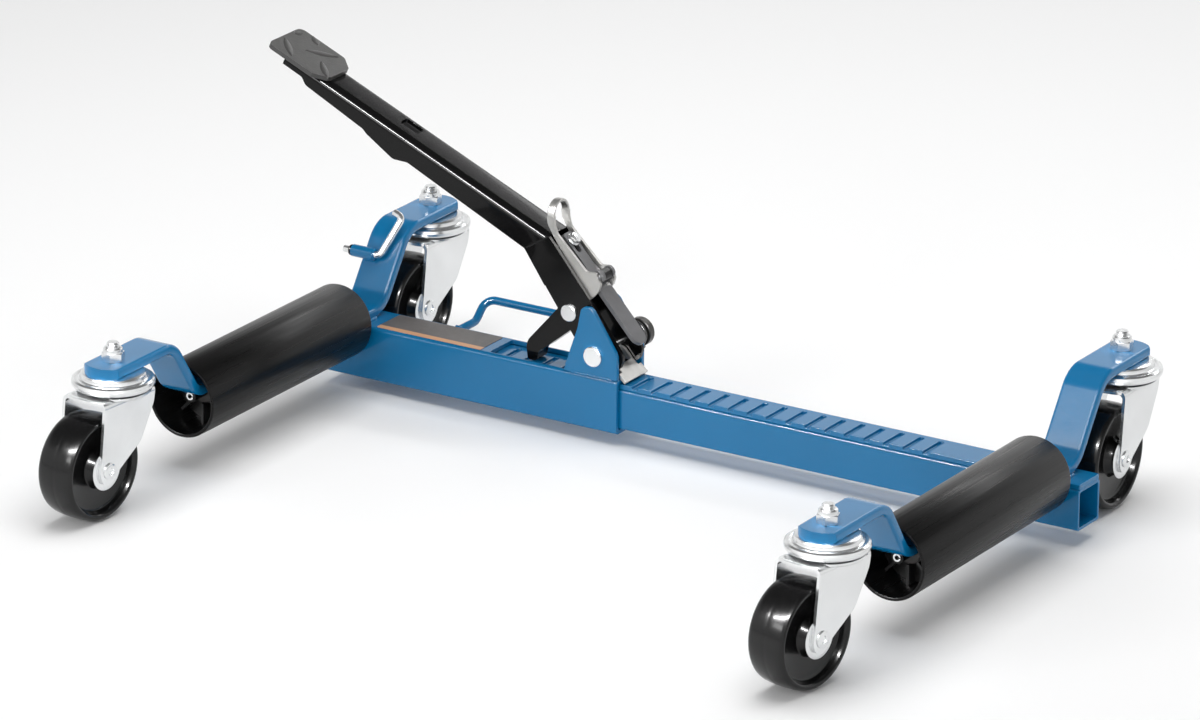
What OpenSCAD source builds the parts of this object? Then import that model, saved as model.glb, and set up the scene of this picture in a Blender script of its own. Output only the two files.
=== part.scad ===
// Wheel dolly: four swivel casters, two idle rollers, a telescoping ratchet beam and a foot pedal.
// Millimetres, +Z up. X runs along the beam from the fixed end to the sliding end.
// Y runs from the tyre side (front) to the beam side (back). The casters stand on z = 0.

/* [Frame] */
// Distance along the beam between the caster stems
stem_x = 762; // [740:1:800]
// Distance from the front stems to the back stems
stem_y = 533; // [525:1:545]
// Height of the top face of the caster brackets
bracket_top = 142; // [141:0.5:143]
// Width of the bracket bars
bar_w = 40; // [34:1:42]
// Thickness of the bracket bars
bar_t = 10; // [8:0.5:10]

/* [Beam] */
// Outer tube width across the beam
outer_w = 50; // [50:0.5:51]
// Outer tube height
outer_h = 54; // [54:0.5:55]
// Outer tube wall
outer_wall = 4; // [3:0.5:4]
// Inner tube side
inner_w = 40; // [38:0.5:40]
// Inner tube wall
inner_wall = 3; // [2:0.5:5]
// Rack plate thickness
rack_t = 5; // [4:0.5:5]
// Distance from one rack slot to the next
rack_pitch = 21; // [18:0.5:24]
// Width of each rack slot
slot_w = 6; // [4:0.5:8]

/* [Rollers] */
// Roller outside diameter
roller_d = 73; // [66:1:76]
// Roller wall
roller_wall = 3.5; // [3:0.5:5]
// Roller length
roller_len = 267; // [255:1:268]
// Roller axle diameter
roller_axle_d = 12; // [10:0.5:12]

/* [Casters] */
// Wheel diameter
wheel_d = 100; // [90:1:100]
// Wheel width at the hub
wheel_w = 42; // [36:1:44]
// Distance the wheel axle trails behind the stem
trail = 37; // [30:1:40]
// Largest diameter of the swivel head
swivel_d = 78; // [72:1:80]

/* [Pedal] */
// Foot pad width
pad_w = 56; // [50:1:60]
// Foot pad length
pad_len = 69; // [60:1:74]
// Thickness of the pedal side plates
plate_t = 4; // [3:0.5:4]
// Diameter of the main pivot pin
pivot_d = 12; // [10:0.5:12]

/* [Hidden] */
$fn = 64;
run_fit = 0.05;          // radial clearance of a turning pin
stem_d = 12;             // king bolt
bolt_hole = 12.4;        // clearance hole for the king bolt
wheel_r = wheel_d / 2;

// beam, across
beam_y0 = 382;
beam_y1 = beam_y0 + outer_w;
beam_yc = (beam_y0 + beam_y1) / 2;
beam_z0 = 11;
beam_z1 = beam_z0 + outer_h;
outer_x0 = -24;
outer_x1 = 307;
inner_x0 = 140;
inner_x1 = stem_x + 38;
rack_z1 = beam_z1 - outer_wall - 0.5;
rack_z0 = rack_z1 - rack_t;
inner_z0 = rack_z0 - inner_w;
inner_y0 = beam_yc - inner_w / 2;

// rollers
roller_z = 69;
roller_y0 = 108;
roller_y1 = roller_y0 + roller_len;
axle_y0 = 123;

// pedal linkage, points in the XZ plane
pivot = [281, beam_z1 + 20];
pawl_pin = [250.5, beam_z1 + 56];
slope = 23.3;            // slope of the upper arm
knee_top = [227, 192.6];
knee_low = [200, 175.5];
arm_y0 = beam_y0 + 6;    // outer faces of the pedal side plates
arm_y1 = beam_y1 - 6;
strap_a = 47.5;          // slope of the lock strap
strap_bolt = [234.8, 180]; // where the guide bolt crosses the channel, in XZ

// caster yaw at rest, degrees
yaw_fl = -5.4;
yaw_fr = -8.6;
yaw_bl = -2.5;
yaw_br = 2;

// origin: middle of the bounding box, on the floor
shift_x = -(inner_x1 + 1 - 86) / 2;
front_y = (trail + wheel_r) * cos(yaw_fr) + (wheel_w / 2 - 9) * sin(-yaw_fr);
shift_y = -(stem_y + swivel_d / 2 - front_y) / 2;

// ---------- helpers ----------

function dirn(a, b) = (b - a) / norm(b - a);
function nrm(d) = [-d[1], d[0]];
function ang(d) = atan2(d[1], d[0]);
function wrap(a) = a > 180 ? a - 360 : a < -180 ? a + 360 : a;
function turn(p, i) = wrap(ang(p[i + 1] - p[i]) - ang(p[i] - p[i - 1]));
function bend_c(p, i, r) =
  let (d = dirn(p[i - 1], p[i]), k = turn(p, i))
  p[i] - d * r * tan(abs(k) / 2) + sign(k) * r * nrm(d);
function arc_at(c, r, a) = c + r * [cos(a), sin(a)];
function bend_pts(p, i, r, o, n) =
  let (k = turn(p, i), s = sign(k), a0 = ang(p[i] - p[i - 1]) - 90 * s)
  [for (j = [0:n]) arc_at(bend_c(p, i, r), r - s * o, a0 + k * j / n)];
// one side of a bar bent along the path p, at the distance o from its centre line
function side_pts(p, r, o, n = 8) =
  let (m = len(p))
  concat(
    [p[0] + o * nrm(dirn(p[0], p[1]))],
    [for (i = [1:m - 2]) each bend_pts(p, i, r, o, n)],
    [p[m - 1] + o * nrm(dirn(p[m - 2], p[m - 1]))]
  );
function flip(v) = [for (i = [len(v) - 1:-1:0]) v[i]];

module bent_outline(p, r, t) {
  polygon(concat(side_pts(p, r, t / 2), flip(side_pts(p, r, -t / 2))));
}

// outline in YZ, made solid along X from x0 over w
module along_x(x0, w) {
  translate([x0, 0, 0])
    rotate([90, 0, 90])
      linear_extrude(w)
        children();
}

// outline in XZ, made solid along Y from y0 over w
module along_y(y0, w) {
  translate([0, y0 + w, 0])
    rotate([90, 0, 0])
      linear_extrude(w)
        children();
}

// cylinder along Y from y0 over w, centred at c in XZ
module rod_y(c, y0, w, d) {
  translate([c[0], y0 + w, c[1]])
    rotate([90, 0, 0])
      cylinder(h = w, d = d);
}

module rod_x(x0, w, d) {
  translate([x0, 0, 0])
    rotate([0, 90, 0])
      cylinder(h = w, d = d);
}

// round rod from a to b
module rod(a, b, d) {
  v = b - a;
  translate(a)
    rotate([0, acos(v[2] / norm(v)), atan2(v[1], v[0])])
      cylinder(h = norm(v), d = d);
}

// round rod bent through a list of points, with corners of radius r
function unit(v) = v / norm(v);
function leg_in(p, i) = unit(p[i] - p[i - 1]);
function leg_out(p, i) = unit(p[i + 1] - p[i]);
function corner(p, i) = acos(leg_in(p, i) * leg_out(p, i));
function cut_back(p, i, r) = i == 0 || i == len(p) - 1 ? 0 : r * tan(corner(p, i) / 2) - 0.5;

module bent_rod(p, d, r) {
  for (i = [0:len(p) - 2])
    rod(p[i] + cut_back(p, i, r) * leg_out(p, i), p[i + 1] - cut_back(p, i + 1, r) * leg_out(p, i), d);
  for (i = [1:len(p) - 2]) {
    u = leg_in(p, i);
    n = unit(leg_out(p, i) - u * (u * leg_out(p, i)));
    c = p[i] - r * tan(corner(p, i) / 2) * u + r * n;
    w = cross(-n, u);
    multmatrix([
      [-n[0], u[0], w[0], c[0]], [-n[1], u[1], w[1], c[1]], [-n[2], u[2], w[2], c[2]], [0, 0, 0, 1]
    ])
      rotate_extrude(angle = corner(p, i)) translate([r, 0]) circle(d = d + 0.2);
  }
}

module placed() {
  translate([shift_x, shift_y, 0]) children();
}

// ---------- brackets and beam ----------

// plan of a bracket bar: the stem end is rounded about the stem
module bar_plan(y_stem, far) {
  intersection() {
    union() {
      translate([0, y_stem]) circle(r = 27);
      translate([-bar_w, min(y_stem, far)]) square([2 * bar_w, abs(far - y_stem)]);
    }
    translate([-bar_w / 2, -100]) square([bar_w, 800]);
  }
}

module bracket(x, p, bend, y_stem, far) {
  difference() {
    intersection() {
      along_x(x - bar_w / 2, bar_w) bent_outline(p, bend, bar_t);
      translate([x, 0, 0]) linear_extrude(bracket_top + 5) bar_plan(y_stem, far);
    }
    translate([x, y_stem, 0]) cylinder(h = 300, d = bolt_hole);
  }
}

bar_z = bracket_top - bar_t / 2;
foot_z = roller_z + roller_axle_d / 2 + bar_t / 2;

module front_bracket(x) {
  p = [[-29, bar_z], [71, bar_z], [109, foot_z], [136, foot_z]];
  bracket(x, p, 24, 0, 200);
}

back_y = 467.5;          // top corner of the back bracket
back_a = 55.4;           // slope of the back bracket

module back_bracket(x, y0, z0) {
  zc = z0 + bar_t / 2;
  y1 = back_y - (bar_z - zc) / tan(back_a);
  p = [[y0, zc], [y1, zc], [back_y, bar_z], [stem_y + 29, bar_z]];
  bracket(x, p, 30, stem_y, 300);
}

module outer_tube() color([0.04, 0.38, 0.66]) placed() difference() {
  translate([outer_x0, beam_y0, beam_z0])
    cube([outer_x1 - outer_x0, outer_w, outer_h]);
  translate([outer_x0 - 1, beam_y0 + outer_wall, beam_z0 + outer_wall])
    cube([outer_x1 - outer_x0 + 2, outer_w - 2 * outer_wall, outer_h - 2 * outer_wall]);
  // rack window in the top wall
  translate([162, beam_y0 + outer_wall + 1, beam_z1 - outer_wall - 1])
    cube([87, outer_w - 2 * outer_wall - 2, outer_wall + 2]);
}

module ear(y0) {
  difference() {
    along_y(y0, 5) union() {
      polygon([
        [248, beam_z1], [250.3, beam_z1 + 9], [262.5, beam_z1 + 44], [266.5, beam_z1 + 64],
        [270, beam_z1 + 67], [277, beam_z1 + 67.5], [280.5, beam_z1 + 65],
        [305.6, beam_z1 + 27], [307, beam_z1 + 22], [307, beam_z1]
      ]);
    }
    rod_y(pivot, y0 - 1, 7, pivot_d);
  }
}

module front_ear() color([0.04, 0.38, 0.66]) placed() ear(beam_y0);

module rear_ear() color([0.04, 0.38, 0.66]) placed() ear(beam_y1 - 5);

module front_left_bracket() color([0.04, 0.38, 0.66]) placed() front_bracket(0);

module front_right_bracket() color([0.04, 0.38, 0.66]) placed() front_bracket(stem_x);

module rear_left_bracket() color([0.04, 0.38, 0.66]) placed() back_bracket(0, beam_y0, beam_z1);

module rear_right_bracket() color([0.04, 0.38, 0.66]) placed()
  back_bracket(stem_x, inner_y0 - 3, rack_z1);

module inner_tube() color([0.04, 0.38, 0.66]) placed() difference() {
  translate([inner_x0, inner_y0, inner_z0])
    cube([inner_x1 - inner_x0, inner_w, inner_w]);
  translate([inner_x0 - 1, inner_y0 + inner_wall, inner_z0 + inner_wall])
    cube([inner_x1 - inner_x0 + 2, inner_w - 2 * inner_wall, inner_w - 2 * inner_wall]);
}

module rack_plate() color([0.04, 0.38, 0.66]) placed() difference() {
  translate([inner_x0 + 5, inner_y0 + 1.5, rack_z0])
    cube([inner_x1 - inner_x0 - 5, inner_w - 3, rack_t]);
  for (i = [-7:15]) {
    x = 323 + rack_pitch * i;
    translate([x - slot_w / 2, inner_y0, rack_z1 - 3])
      cube([slot_w, inner_w - 10, 4]);
    translate([x, inner_y0 + inner_w - 10, rack_z1 - 3])
      cylinder(h = 4, d = slot_w);
  }
}

module blank_label() color([0.75, 0.76, 0.77]) placed()
  translate([34, beam_y0 + 4, beam_z1]) cube([118, outer_w - 9, 0.5]);

// ---------- rollers ----------

module roller_shell(x) {
  difference() {
    rod_y([x, roller_z], roller_y0, roller_len, roller_d);
    rod_y([x, roller_z], roller_y0 - 1, roller_len + 2, roller_d - 2 * roller_wall);
  }
}

module roller_hub(x, y0, web_y) {
  difference() {
    union() {
      rod_y([x, roller_z], web_y, 8, roller_d - 2 * roller_wall);
      rod_y([x, roller_z], y0, 22, 28);
    }
    rod_y([x, roller_z], y0 - 1, 24, roller_axle_d + 2 * run_fit);
  }
}

module roller_hubs(x) {
  roller_hub(x, 146, 153);
  roller_hub(x, roller_y1 - 29, roller_y1 - 22);
}

module roller_left() color([0.06, 0.06, 0.065]) placed() roller_shell(0);

module roller_right() color([0.06, 0.06, 0.065]) placed() roller_shell(stem_x);

module roller_left_hubs() color([0.05, 0.05, 0.05]) placed() roller_hubs(0);

module roller_right_hubs() color([0.05, 0.05, 0.05]) placed() roller_hubs(stem_x);

module roller_axle(x, y1) {
  difference() {
    rod_y([x, roller_z], axle_y0, y1 - axle_y0, roller_axle_d);
    rod_y([x, roller_z], axle_y0 - 1, 13, 7.5);
  }
}

module left_axle() color([0.62, 0.63, 0.65]) placed() roller_axle(0, beam_y0);

module right_axle() color([0.62, 0.63, 0.65]) placed() roller_axle(stem_x, inner_y0 - 3);

// split spring pin pressed in the bored end of the roller axle
module spring_pin(x) {
  difference() {
    rod_y([x, roller_z], axle_y0 - 1, 13, 7.5);
    rod_y([x, roller_z], axle_y0 - 2, 15, 4.5);
    translate([x + 1, axle_y0 - 2, roller_z - 0.5]) cube([4, 15, 1]);
  }
}

module left_spring_pin() color([0.8, 0.8, 0.82]) placed() spring_pin(0);

module right_spring_pin() color([0.8, 0.8, 0.82]) placed() spring_pin(stem_x);

module axle_washer(x, y0) {
  difference() {
    rod_y([x, roller_z], y0, 2, 24);
    rod_y([x, roller_z], y0 - 1, 4, roller_axle_d);
  }
}

module axle_washers(x) {
  axle_washer(x, 143);
  axle_washer(x, roller_y1 - 6);
}

module left_axle_washers() color([0.8, 0.8, 0.82]) placed() axle_washers(0);

module right_axle_washers() color([0.8, 0.8, 0.82]) placed() axle_washers(stem_x);

// ---------- casters ----------

module at_stem(x, y, yaw = 0) {
  translate([x, y, 0]) rotate([0, 0, yaw]) children();
}

// king bolt: round head under the yoke, shank up through the bracket
module king_bolt() {
  translate([0, 0, bracket_top - 36.5]) cylinder(h = 6, d = 24);
  translate([0, 0, bracket_top - 31]) cylinder(h = 49, d = stem_d);
}

// nylon-insert lock nut on the stem
module stem_nut() {
  difference() {
    union() {
      translate([0, 0, bracket_top]) cylinder(h = 9, d = 19 / cos(30), $fn = 6);
      translate([0, 0, bracket_top + 8]) cylinder(h = 6, d = 17.5);
    }
    translate([0, 0, bracket_top - 1]) cylinder(h = 20, d = stem_d);
  }
}

module left_king_bolts() color([0.8, 0.8, 0.82]) placed() {
  at_stem(0, 0) king_bolt();
  at_stem(0, stem_y) king_bolt();
}

module right_king_bolts() color([0.8, 0.8, 0.82]) placed() {
  at_stem(stem_x, 0) king_bolt();
  at_stem(stem_x, stem_y) king_bolt();
}

module left_nuts() color([0.8, 0.8, 0.82]) placed() {
  at_stem(0, 0) stem_nut();
  at_stem(0, stem_y) stem_nut();
}

module right_nuts() color([0.8, 0.8, 0.82]) placed() {
  at_stem(stem_x, 0) stem_nut();
  at_stem(stem_x, stem_y) stem_nut();
}

// fixed upper race: pressed cap with a rolled rim
module top_race() {
  z = bracket_top - bar_t;
  rr = swivel_d / 2;
  rotate_extrude() polygon([
    [bolt_hole / 2, z], [rr - 12, z], [rr - 9, z - 2.5], [rr - 4, z - 5], [rr - 1, z - 7],
    [rr, z - 9.5], [rr - 1, z - 12], [rr - 3, z - 13.8], [rr - 5.5, z - 13.5], [rr - 7, z - 11],
    [rr - 10, z - 6.5], [rr - 13, z - 4.5], [bolt_hole / 2, z - 4.5]
  ]);
}

module race_fl() color([0.8, 0.8, 0.82]) placed() at_stem(0, 0) top_race();

module race_bl() color([0.8, 0.8, 0.82]) placed() at_stem(0, stem_y) top_race();

module race_fr() color([0.8, 0.8, 0.82]) placed() at_stem(stem_x, 0) top_race();

module race_br() color([0.8, 0.8, 0.82]) placed() at_stem(stem_x, stem_y) top_race();

// side leg of the yoke, outline in YZ with the wheel towards -Y
module leg_outline() {
  difference() {
    union() {
      polygon([
        [-40, bracket_top - 26], [-trail - 11, wheel_r + 10], [-trail - 12.9, wheel_r],
        [-trail, wheel_r - 1], [-trail + 12.6, wheel_r - 3], [8, 66], [28, 104],
        [30, bracket_top - 26]
      ]);
      translate([-trail, wheel_r]) circle(d = 26);
    }
    translate([-trail, wheel_r]) circle(d = 10);
  }
}

module fork() {
  zt = bracket_top - 26;
  gap = wheel_w / 2 + 1.6;
  difference() {
    union() {
      translate([0, 0, zt - 4]) linear_extrude(4) union() {
        circle(r = 34);
        translate([-gap - 3, -40]) square([2 * gap + 6, 64]);
      }
      along_x(gap, 3) leg_outline();
      along_x(-gap - 3, 3) leg_outline();
    }
    translate([0, 0, zt - 10]) cylinder(h = 20, d = stem_d + 2 * run_fit);
  }
  translate([0, 0, zt]) difference() {
    cylinder(h = 4.5, r = 28);
    translate([0, 0, -1]) cylinder(h = 7, r = 20);
  }
}

// wheel axle: round riveted heads outside the legs
module wheel_axle() {
  g = wheel_w / 2 + 4.6;
  translate([0, -trail, wheel_r]) {
    rod_x(-g, 2 * g, 10);
    rod_x(g, 4, 16);
    rod_x(-g - 4, 4, 16);
  }
}

module thread_guards() {
  g = wheel_w / 2 + 0.4;
  translate([0, -trail, wheel_r]) for (x = [g, -g - 1.2]) difference() {
    rod_x(x, 1.2, 38);
    rod_x(x - 1, 4, 10);
  }
}

module wheel() {
  hw = wheel_w / 2;
  translate([0, -trail, wheel_r]) rotate([0, 90, 0]) rotate_extrude() polygon([
    [5 + run_fit, -hw], [15, -hw], [18, -hw + 3], [20, -hw + 9], [39, -hw + 9],
    [42, -hw + 2], [wheel_r - 4, -hw + 1], [wheel_r - 0.8, -hw + 4], [wheel_r, -hw + 9],
    [wheel_r, hw - 9], [wheel_r - 0.8, hw - 4], [wheel_r - 4, hw - 1], [42, hw - 2],
    [39, hw - 9], [20, hw - 9], [18, hw - 3], [15, hw], [5 + run_fit, hw]
  ]);
}

module fork_fl() color([0.8, 0.8, 0.82]) placed() at_stem(0, 0, yaw_fl) fork();
module fork_bl() color([0.8, 0.8, 0.82]) placed() at_stem(0, stem_y, yaw_bl) fork();
module fork_fr() color([0.8, 0.8, 0.82]) placed() at_stem(stem_x, 0, yaw_fr) fork();
module fork_br() color([0.8, 0.8, 0.82]) placed() at_stem(stem_x, stem_y, yaw_br) fork();

module axle_fl() color([0.8, 0.8, 0.82]) placed() at_stem(0, 0, yaw_fl) wheel_axle();
module axle_bl() color([0.8, 0.8, 0.82]) placed() at_stem(0, stem_y, yaw_bl) wheel_axle();
module axle_fr() color([0.8, 0.8, 0.82]) placed() at_stem(stem_x, 0, yaw_fr) wheel_axle();
module axle_br() color([0.8, 0.8, 0.82]) placed() at_stem(stem_x, stem_y, yaw_br) wheel_axle();

module washers_fl() color([0.8, 0.8, 0.82]) placed() at_stem(0, 0, yaw_fl) thread_guards();
module washers_bl() color([0.8, 0.8, 0.82]) placed() at_stem(0, stem_y, yaw_bl) thread_guards();
module washers_fr() color([0.8, 0.8, 0.82]) placed() at_stem(stem_x, 0, yaw_fr) thread_guards();
module washers_br() color([0.8, 0.8, 0.82]) placed()
  at_stem(stem_x, stem_y, yaw_br) thread_guards();

module wheel_fl() color([0.03, 0.03, 0.03]) placed() at_stem(0, 0, yaw_fl) wheel();
module wheel_bl() color([0.03, 0.03, 0.03]) placed() at_stem(0, stem_y, yaw_bl) wheel();
module wheel_fr() color([0.03, 0.03, 0.03]) placed() at_stem(stem_x, 0, yaw_fr) wheel();
module wheel_br() color([0.03, 0.03, 0.03]) placed() at_stem(stem_x, stem_y, yaw_br) wheel();

// ---------- handle, storage pin ----------

module carry_handle() color([0.04, 0.38, 0.66]) placed() {
  y = beam_y1;
  z = beam_z1 - 4.5;
  bent_rod([[98, y, z], [98, y + 30, z], [98, y + 49, z + 17.5], [238, y + 49, z + 17.5],
    [238, y + 30, z], [238, y, z]], 8, 10);
}

// the holder lies on the sloping face of the back bracket
holder_y = back_y - 33.47 * cos(back_a) - (bar_t / 2 + 6.15) * sin(back_a);
holder_z = bar_z - 33.47 * sin(back_a) + (bar_t / 2 + 6.15) * cos(back_a);

module pin_holder() color([0.04, 0.38, 0.66]) placed() difference() {
  union() {
    translate([0, holder_y, holder_z]) rod_x(-28, 25, 12);
    translate([0, holder_y, holder_z]) rotate([back_a, 0, 0])
      translate([-18, -3, -6.15]) cube([14, 6, 6]);
  }
  translate([0, holder_y, holder_z]) rod_x(-29, 27, 7);
}

// L-shaped locking pin: shank in the holder, leg up the bracket, short hook
module storage_pin() color([0.8, 0.8, 0.82]) placed() {
  h = [0, holder_y, holder_z];
  u = [0, cos(back_a), sin(back_a)];
  d = 7 - 2 * run_fit;
  tip = h + [14, 0, 0] + 41 * u;
  translate(h) rod_x(-38, 41, d);
  translate(h + [3, 0, 0]) sphere(d = d + 0.4);
  rod(h + [3, 0, 0], tip, d - 0.3);
  translate(tip) sphere(d = d + 0.4);
  rod(tip, h + [2.5, 2, 1.5] + 42.6 * u, d - 0.3);
}

// ---------- pedal ----------

module pivot_pin() color([0.8, 0.8, 0.82]) placed() {
  rod_y(pivot, beam_y0 - 3, 3, 20);
  rod_y(pivot, beam_y0 - 1, outer_w + 43, pivot_d);
}

// round collar pressed on the tail of the pivot pin
module pivot_collar() color([0.2, 0.2, 0.21]) placed() difference() {
  rod_y(pivot, beam_y1 + 29.5, 8.5, 28);
  rod_y(pivot, beam_y1 + 28, 12, pivot_d);
}

// torsion spring around the tail of the pivot pin
module return_spring() color([0.05, 0.05, 0.05]) placed() {
  for (i = [0:4])
    translate([pivot[0], beam_y1 + 4 + 5 * i, pivot[1]])
      rotate([90, 0, 0])
        rotate_extrude() translate([12, 0]) circle(d = 3.6, $fn = 24);
  // leg along the coils, anchored on the back of the rear ear
  rod_y(pivot - [0, 12], beam_y1, 24, 3.4);
}

module arm_outline(drop) {
  polygon([
    [-73.5, 322 - drop], [knee_top[0], knee_top[1] - drop], knee_low,
    [68, 236.5], [51.5, 237], [22, 256.5], [17.5, 261], [-47.8, 293],
    [-51.6, 300.3], [-73.5, 310]
  ]);
}

module pedal_arm() color([0.04, 0.04, 0.045]) placed() difference() {
  along_y(arm_y0, arm_y1 - arm_y0) arm_outline(0);
  along_y(arm_y0 + plate_t, arm_y1 - arm_y0 - 2 * plate_t)
    polygon([
      [-90, 329.1 - 4.4], [knee_top[0] + 10, knee_top[1] - 4.3 - 4.4],
      [knee_top[0] + 10, 140], [-90, 140]
    ]);
  // slot in the top face
  translate([59, beam_yc + 4, 265]) rotate([0, slope, 0])
    translate([-10, -7, -8]) cube([20, 14, 16]);
}

module channel_outline() {
  polygon([
    knee_low, knee_top, [273, 137.5], [311, 87], [307, 75], pivot + [6, -16],
    pivot + [-8, -15], [264, 76], [260.5, 91.5]
  ]);
  translate(pivot) circle(r = 17.5);
}

module pedal_channel() color([0.04, 0.04, 0.045]) placed() {
  difference() {
    union() {
      along_y(arm_y0, plate_t) channel_outline();
      along_y(arm_y1 - plate_t, plate_t) channel_outline();
      // web along the low side, above the drive pawl
      along_y(arm_y0, arm_y1 - arm_y0)
        polygon([knee_low, knee_low + [3.2, 2.3], [225.9, 145], [222.7, 142.7]]);
      // bridge at the knee that carries the guide bolt
      along_y(arm_y0, arm_y1 - arm_y0)
        polygon([
          [227.87, 180.16], [234.35, 173.08], [228.46, 167.68], [221.98, 174.76]
        ]);
    }
    rod_y(pivot, arm_y0 - 1, 50, pivot_d + 2 * run_fit);
    rod_y(pawl_pin, arm_y0 - 1, 50, 10);
    translate([strap_bolt[0], beam_yc, strap_bolt[1]]) rotate([0, strap_a, 0])
      cylinder(h = 30, d = 6, center = true);
  }
}

module leaf(l, w) {
  r = (l * l / 4 + w * w / 4) / w;
  intersection() {
    translate([0, r - w / 2]) circle(r = r);
    translate([0, w / 2 - r]) circle(r = r);
  }
}

module foot_pad() color([0.16, 0.16, 0.165]) placed()
  translate([-86, beam_yc, 327.4]) rotate([0, slope, 0]) {
    hw = pad_w / 2;
    linear_extrude(5) polygon([
      [0, -hw + 3], [3, -hw], [pad_len - 14, -hw], [pad_len, -hw + 12],
      [pad_len, hw - 12], [pad_len - 14, hw], [3, hw], [0, hw - 3]
    ]);
    for (m = [[15, -14, -40], [39, 10.8, 44], [58, -10, -41]])
      translate([m[0], m[1], 4.5]) rotate([0, 0, m[2]])
        linear_extrude(1.7) leaf(28, 6);
  }

// headed pin that carries the drive pawl
module pawl_pin_bolt() color([0.8, 0.8, 0.82]) placed() {
  rod_y(pawl_pin, arm_y0 - 3, 3, 17);
  rod_y(pawl_pin, arm_y0 - 1, arm_y1 - arm_y0 + 4, 10);
}

// hexagon bolt that holds the strap against the bridge
module guide_bolt() color([0.8, 0.8, 0.82]) placed()
  translate([strap_bolt[0], beam_yc, strap_bolt[1]]) rotate([0, strap_a, 0]) {
    translate([0, 0, -14]) cylinder(h = 24, d = 6);
    translate([0, 0, 9.6]) cylinder(h = 1.4, d = 13);
    translate([0, 0, 11]) cylinder(h = 4.5, d = 10 / cos(30), $fn = 6);
  }

module drive_pawl() color([0.04, 0.04, 0.045]) placed() difference() {
  along_y(beam_yc - 9, 18) {
    polygon([
      pawl_pin + [-13, 5], pawl_pin + [-20, -3], [198, beam_z1 + 16], [197, beam_z1 + 10],
      [198, beam_z1 - 3.5], [208, beam_z1 - 3.5], [210, beam_z1 + 7], [217.5, beam_z1 + 12],
      [245, beam_z1 + 34], pawl_pin + [6, -11]
    ]);
    translate(pawl_pin) circle(r = 13);
  }
  rod_y(pawl_pin, beam_yc - 10, 20, 10 + 2 * run_fit);
}

// part of the lip, 3 thick, from a to b along its lower face
function lip(a, b) =
  let (u = [cos(41), -sin(41)], n = [sin(41), cos(41)], o = [297, beam_z1 + 10])
  [o + a * u, o + b * u, o + b * u + 3 * n, o + a * u + 3 * n];

// bent plate on the pivot pin: its lip falls into the rack just past the tube end
module holding_pawl() color([0.75, 0.76, 0.78]) placed() difference() {
  union() {
    for (y = [arm_y0 + plate_t + 1, arm_y1 - plate_t - 3.5])
      along_y(y, 2.5) {
        translate(pivot) circle(r = 10);
        polygon([
          pivot + [-9, -4], pivot + [9.5, 3], [302, beam_z1 + 9.7], [298.5, beam_z1 + 9],
          pivot + [4, -9]
        ]);
      }
    // sloping lip: narrow between the side plates, full width below them
    along_y(arm_y0 + plate_t + 0.6, arm_y1 - arm_y0 - 2 * plate_t - 1.2)
      polygon(lip(0, 12));
    along_y(beam_y0 + 5.5, outer_w - 11)
      polygon(lip(9.8, 20.6));
  }
  rod_y(pivot, arm_y0, 40, pivot_d + 2 * run_fit);
}

// flat strap along the open side of the pedal channel, with two lugs for the cross roller
module lock_strap() color([0.2, 0.2, 0.215]) placed() {
  difference() {
    translate([strap_bolt[0], beam_yc, strap_bolt[1]]) rotate([0, strap_a, 0]) union() {
      translate([-9, -10, 5.3]) cube([117, 20, 4]);
      translate([108, 0, 5.3]) cylinder(h = 4, d = 20);
      for (y = [-10, 7]) translate([38, y, 9]) cube([12, 3, 14]);
    }
    // slot for the guide bolt
    translate([strap_bolt[0], beam_yc, strap_bolt[1]]) rotate([0, strap_a, 0])
      translate([-3.5, -3.5, 4]) cube([17, 7, 7]);
    rod_y(cross_c, beam_yc - 12, 24, 6);
  }
}

cross_c = strap_bolt + [44 * cos(strap_a) + 15.8 * sin(strap_a),
  15.8 * cos(strap_a) - 44 * sin(strap_a)];

// cross roller: pin through the lugs and the bail plates with a sleeve between the lugs
module cross_roller() color([0.08, 0.08, 0.085]) placed() {
  rod_y(cross_c, beam_yc - 15, 30, 6);
  rod_y(cross_c, beam_yc - 7, 14, 12);
}

bail_c = [226, 210.5];
bail_a = 87;

// spring-steel bail: two plates joined by a long loop
module bail_plate() {
  polygon([
    bail_c + [-4, 0], bail_c + [4, 0], [230.4, 203], [232.9, 195], [267, 162.6], [278.5, 164.5],
    [284, 153.5], [281.5, 146], [272, 137.2], [269, 137.45], [229.9, 191.05], [222.8, 203]
  ]);
}

module release_bail() color([0.75, 0.76, 0.78]) placed() {
  y0 = beam_yc - 14.2;
  y1 = beam_yc + 11.2;
  difference() {
    union() {
      along_y(y0, 3) bail_plate();
      along_y(y1, 3) bail_plate();
    }
    rod_y(cross_c, beam_yc - 20, 40, 6 + 2 * run_fit);
  }
  translate([bail_c[0], beam_yc, bail_c[1]])
    rotate([0, bail_a - 180, 0]) rotate([0, 0, -90])
      rotate_extrude(angle = 180) translate([11.2, -4]) square([3, 8]);
}

// ---------- selection ----------

outer_tube();
front_ear();
rear_ear();
front_left_bracket();
rear_left_bracket();
left_axle();
left_spring_pin();
left_axle_washers();
carry_handle();
pin_holder();
blank_label();
pivot_pin();
pivot_collar();
return_spring();
left_king_bolts();
left_nuts();
race_fl();
race_bl();
inner_tube();
rack_plate();
front_right_bracket();
rear_right_bracket();
right_axle();
right_spring_pin();
right_axle_washers();
right_king_bolts();
right_nuts();
race_fr();
race_br();
roller_left();
roller_left_hubs();
roller_right();
roller_right_hubs();
fork_fl();
axle_fl();
washers_fl();
wheel_fl();
fork_bl();
axle_bl();
washers_bl();
wheel_bl();
fork_fr();
axle_fr();
washers_fr();
wheel_fr();
fork_br();
axle_br();
washers_br();
wheel_br();
pedal_arm();
pedal_channel();
foot_pad();
pawl_pin_bolt();
guide_bolt();
drive_pawl();
holding_pawl();
lock_strap();
cross_roller();
release_bail();
storage_pin();
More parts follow.
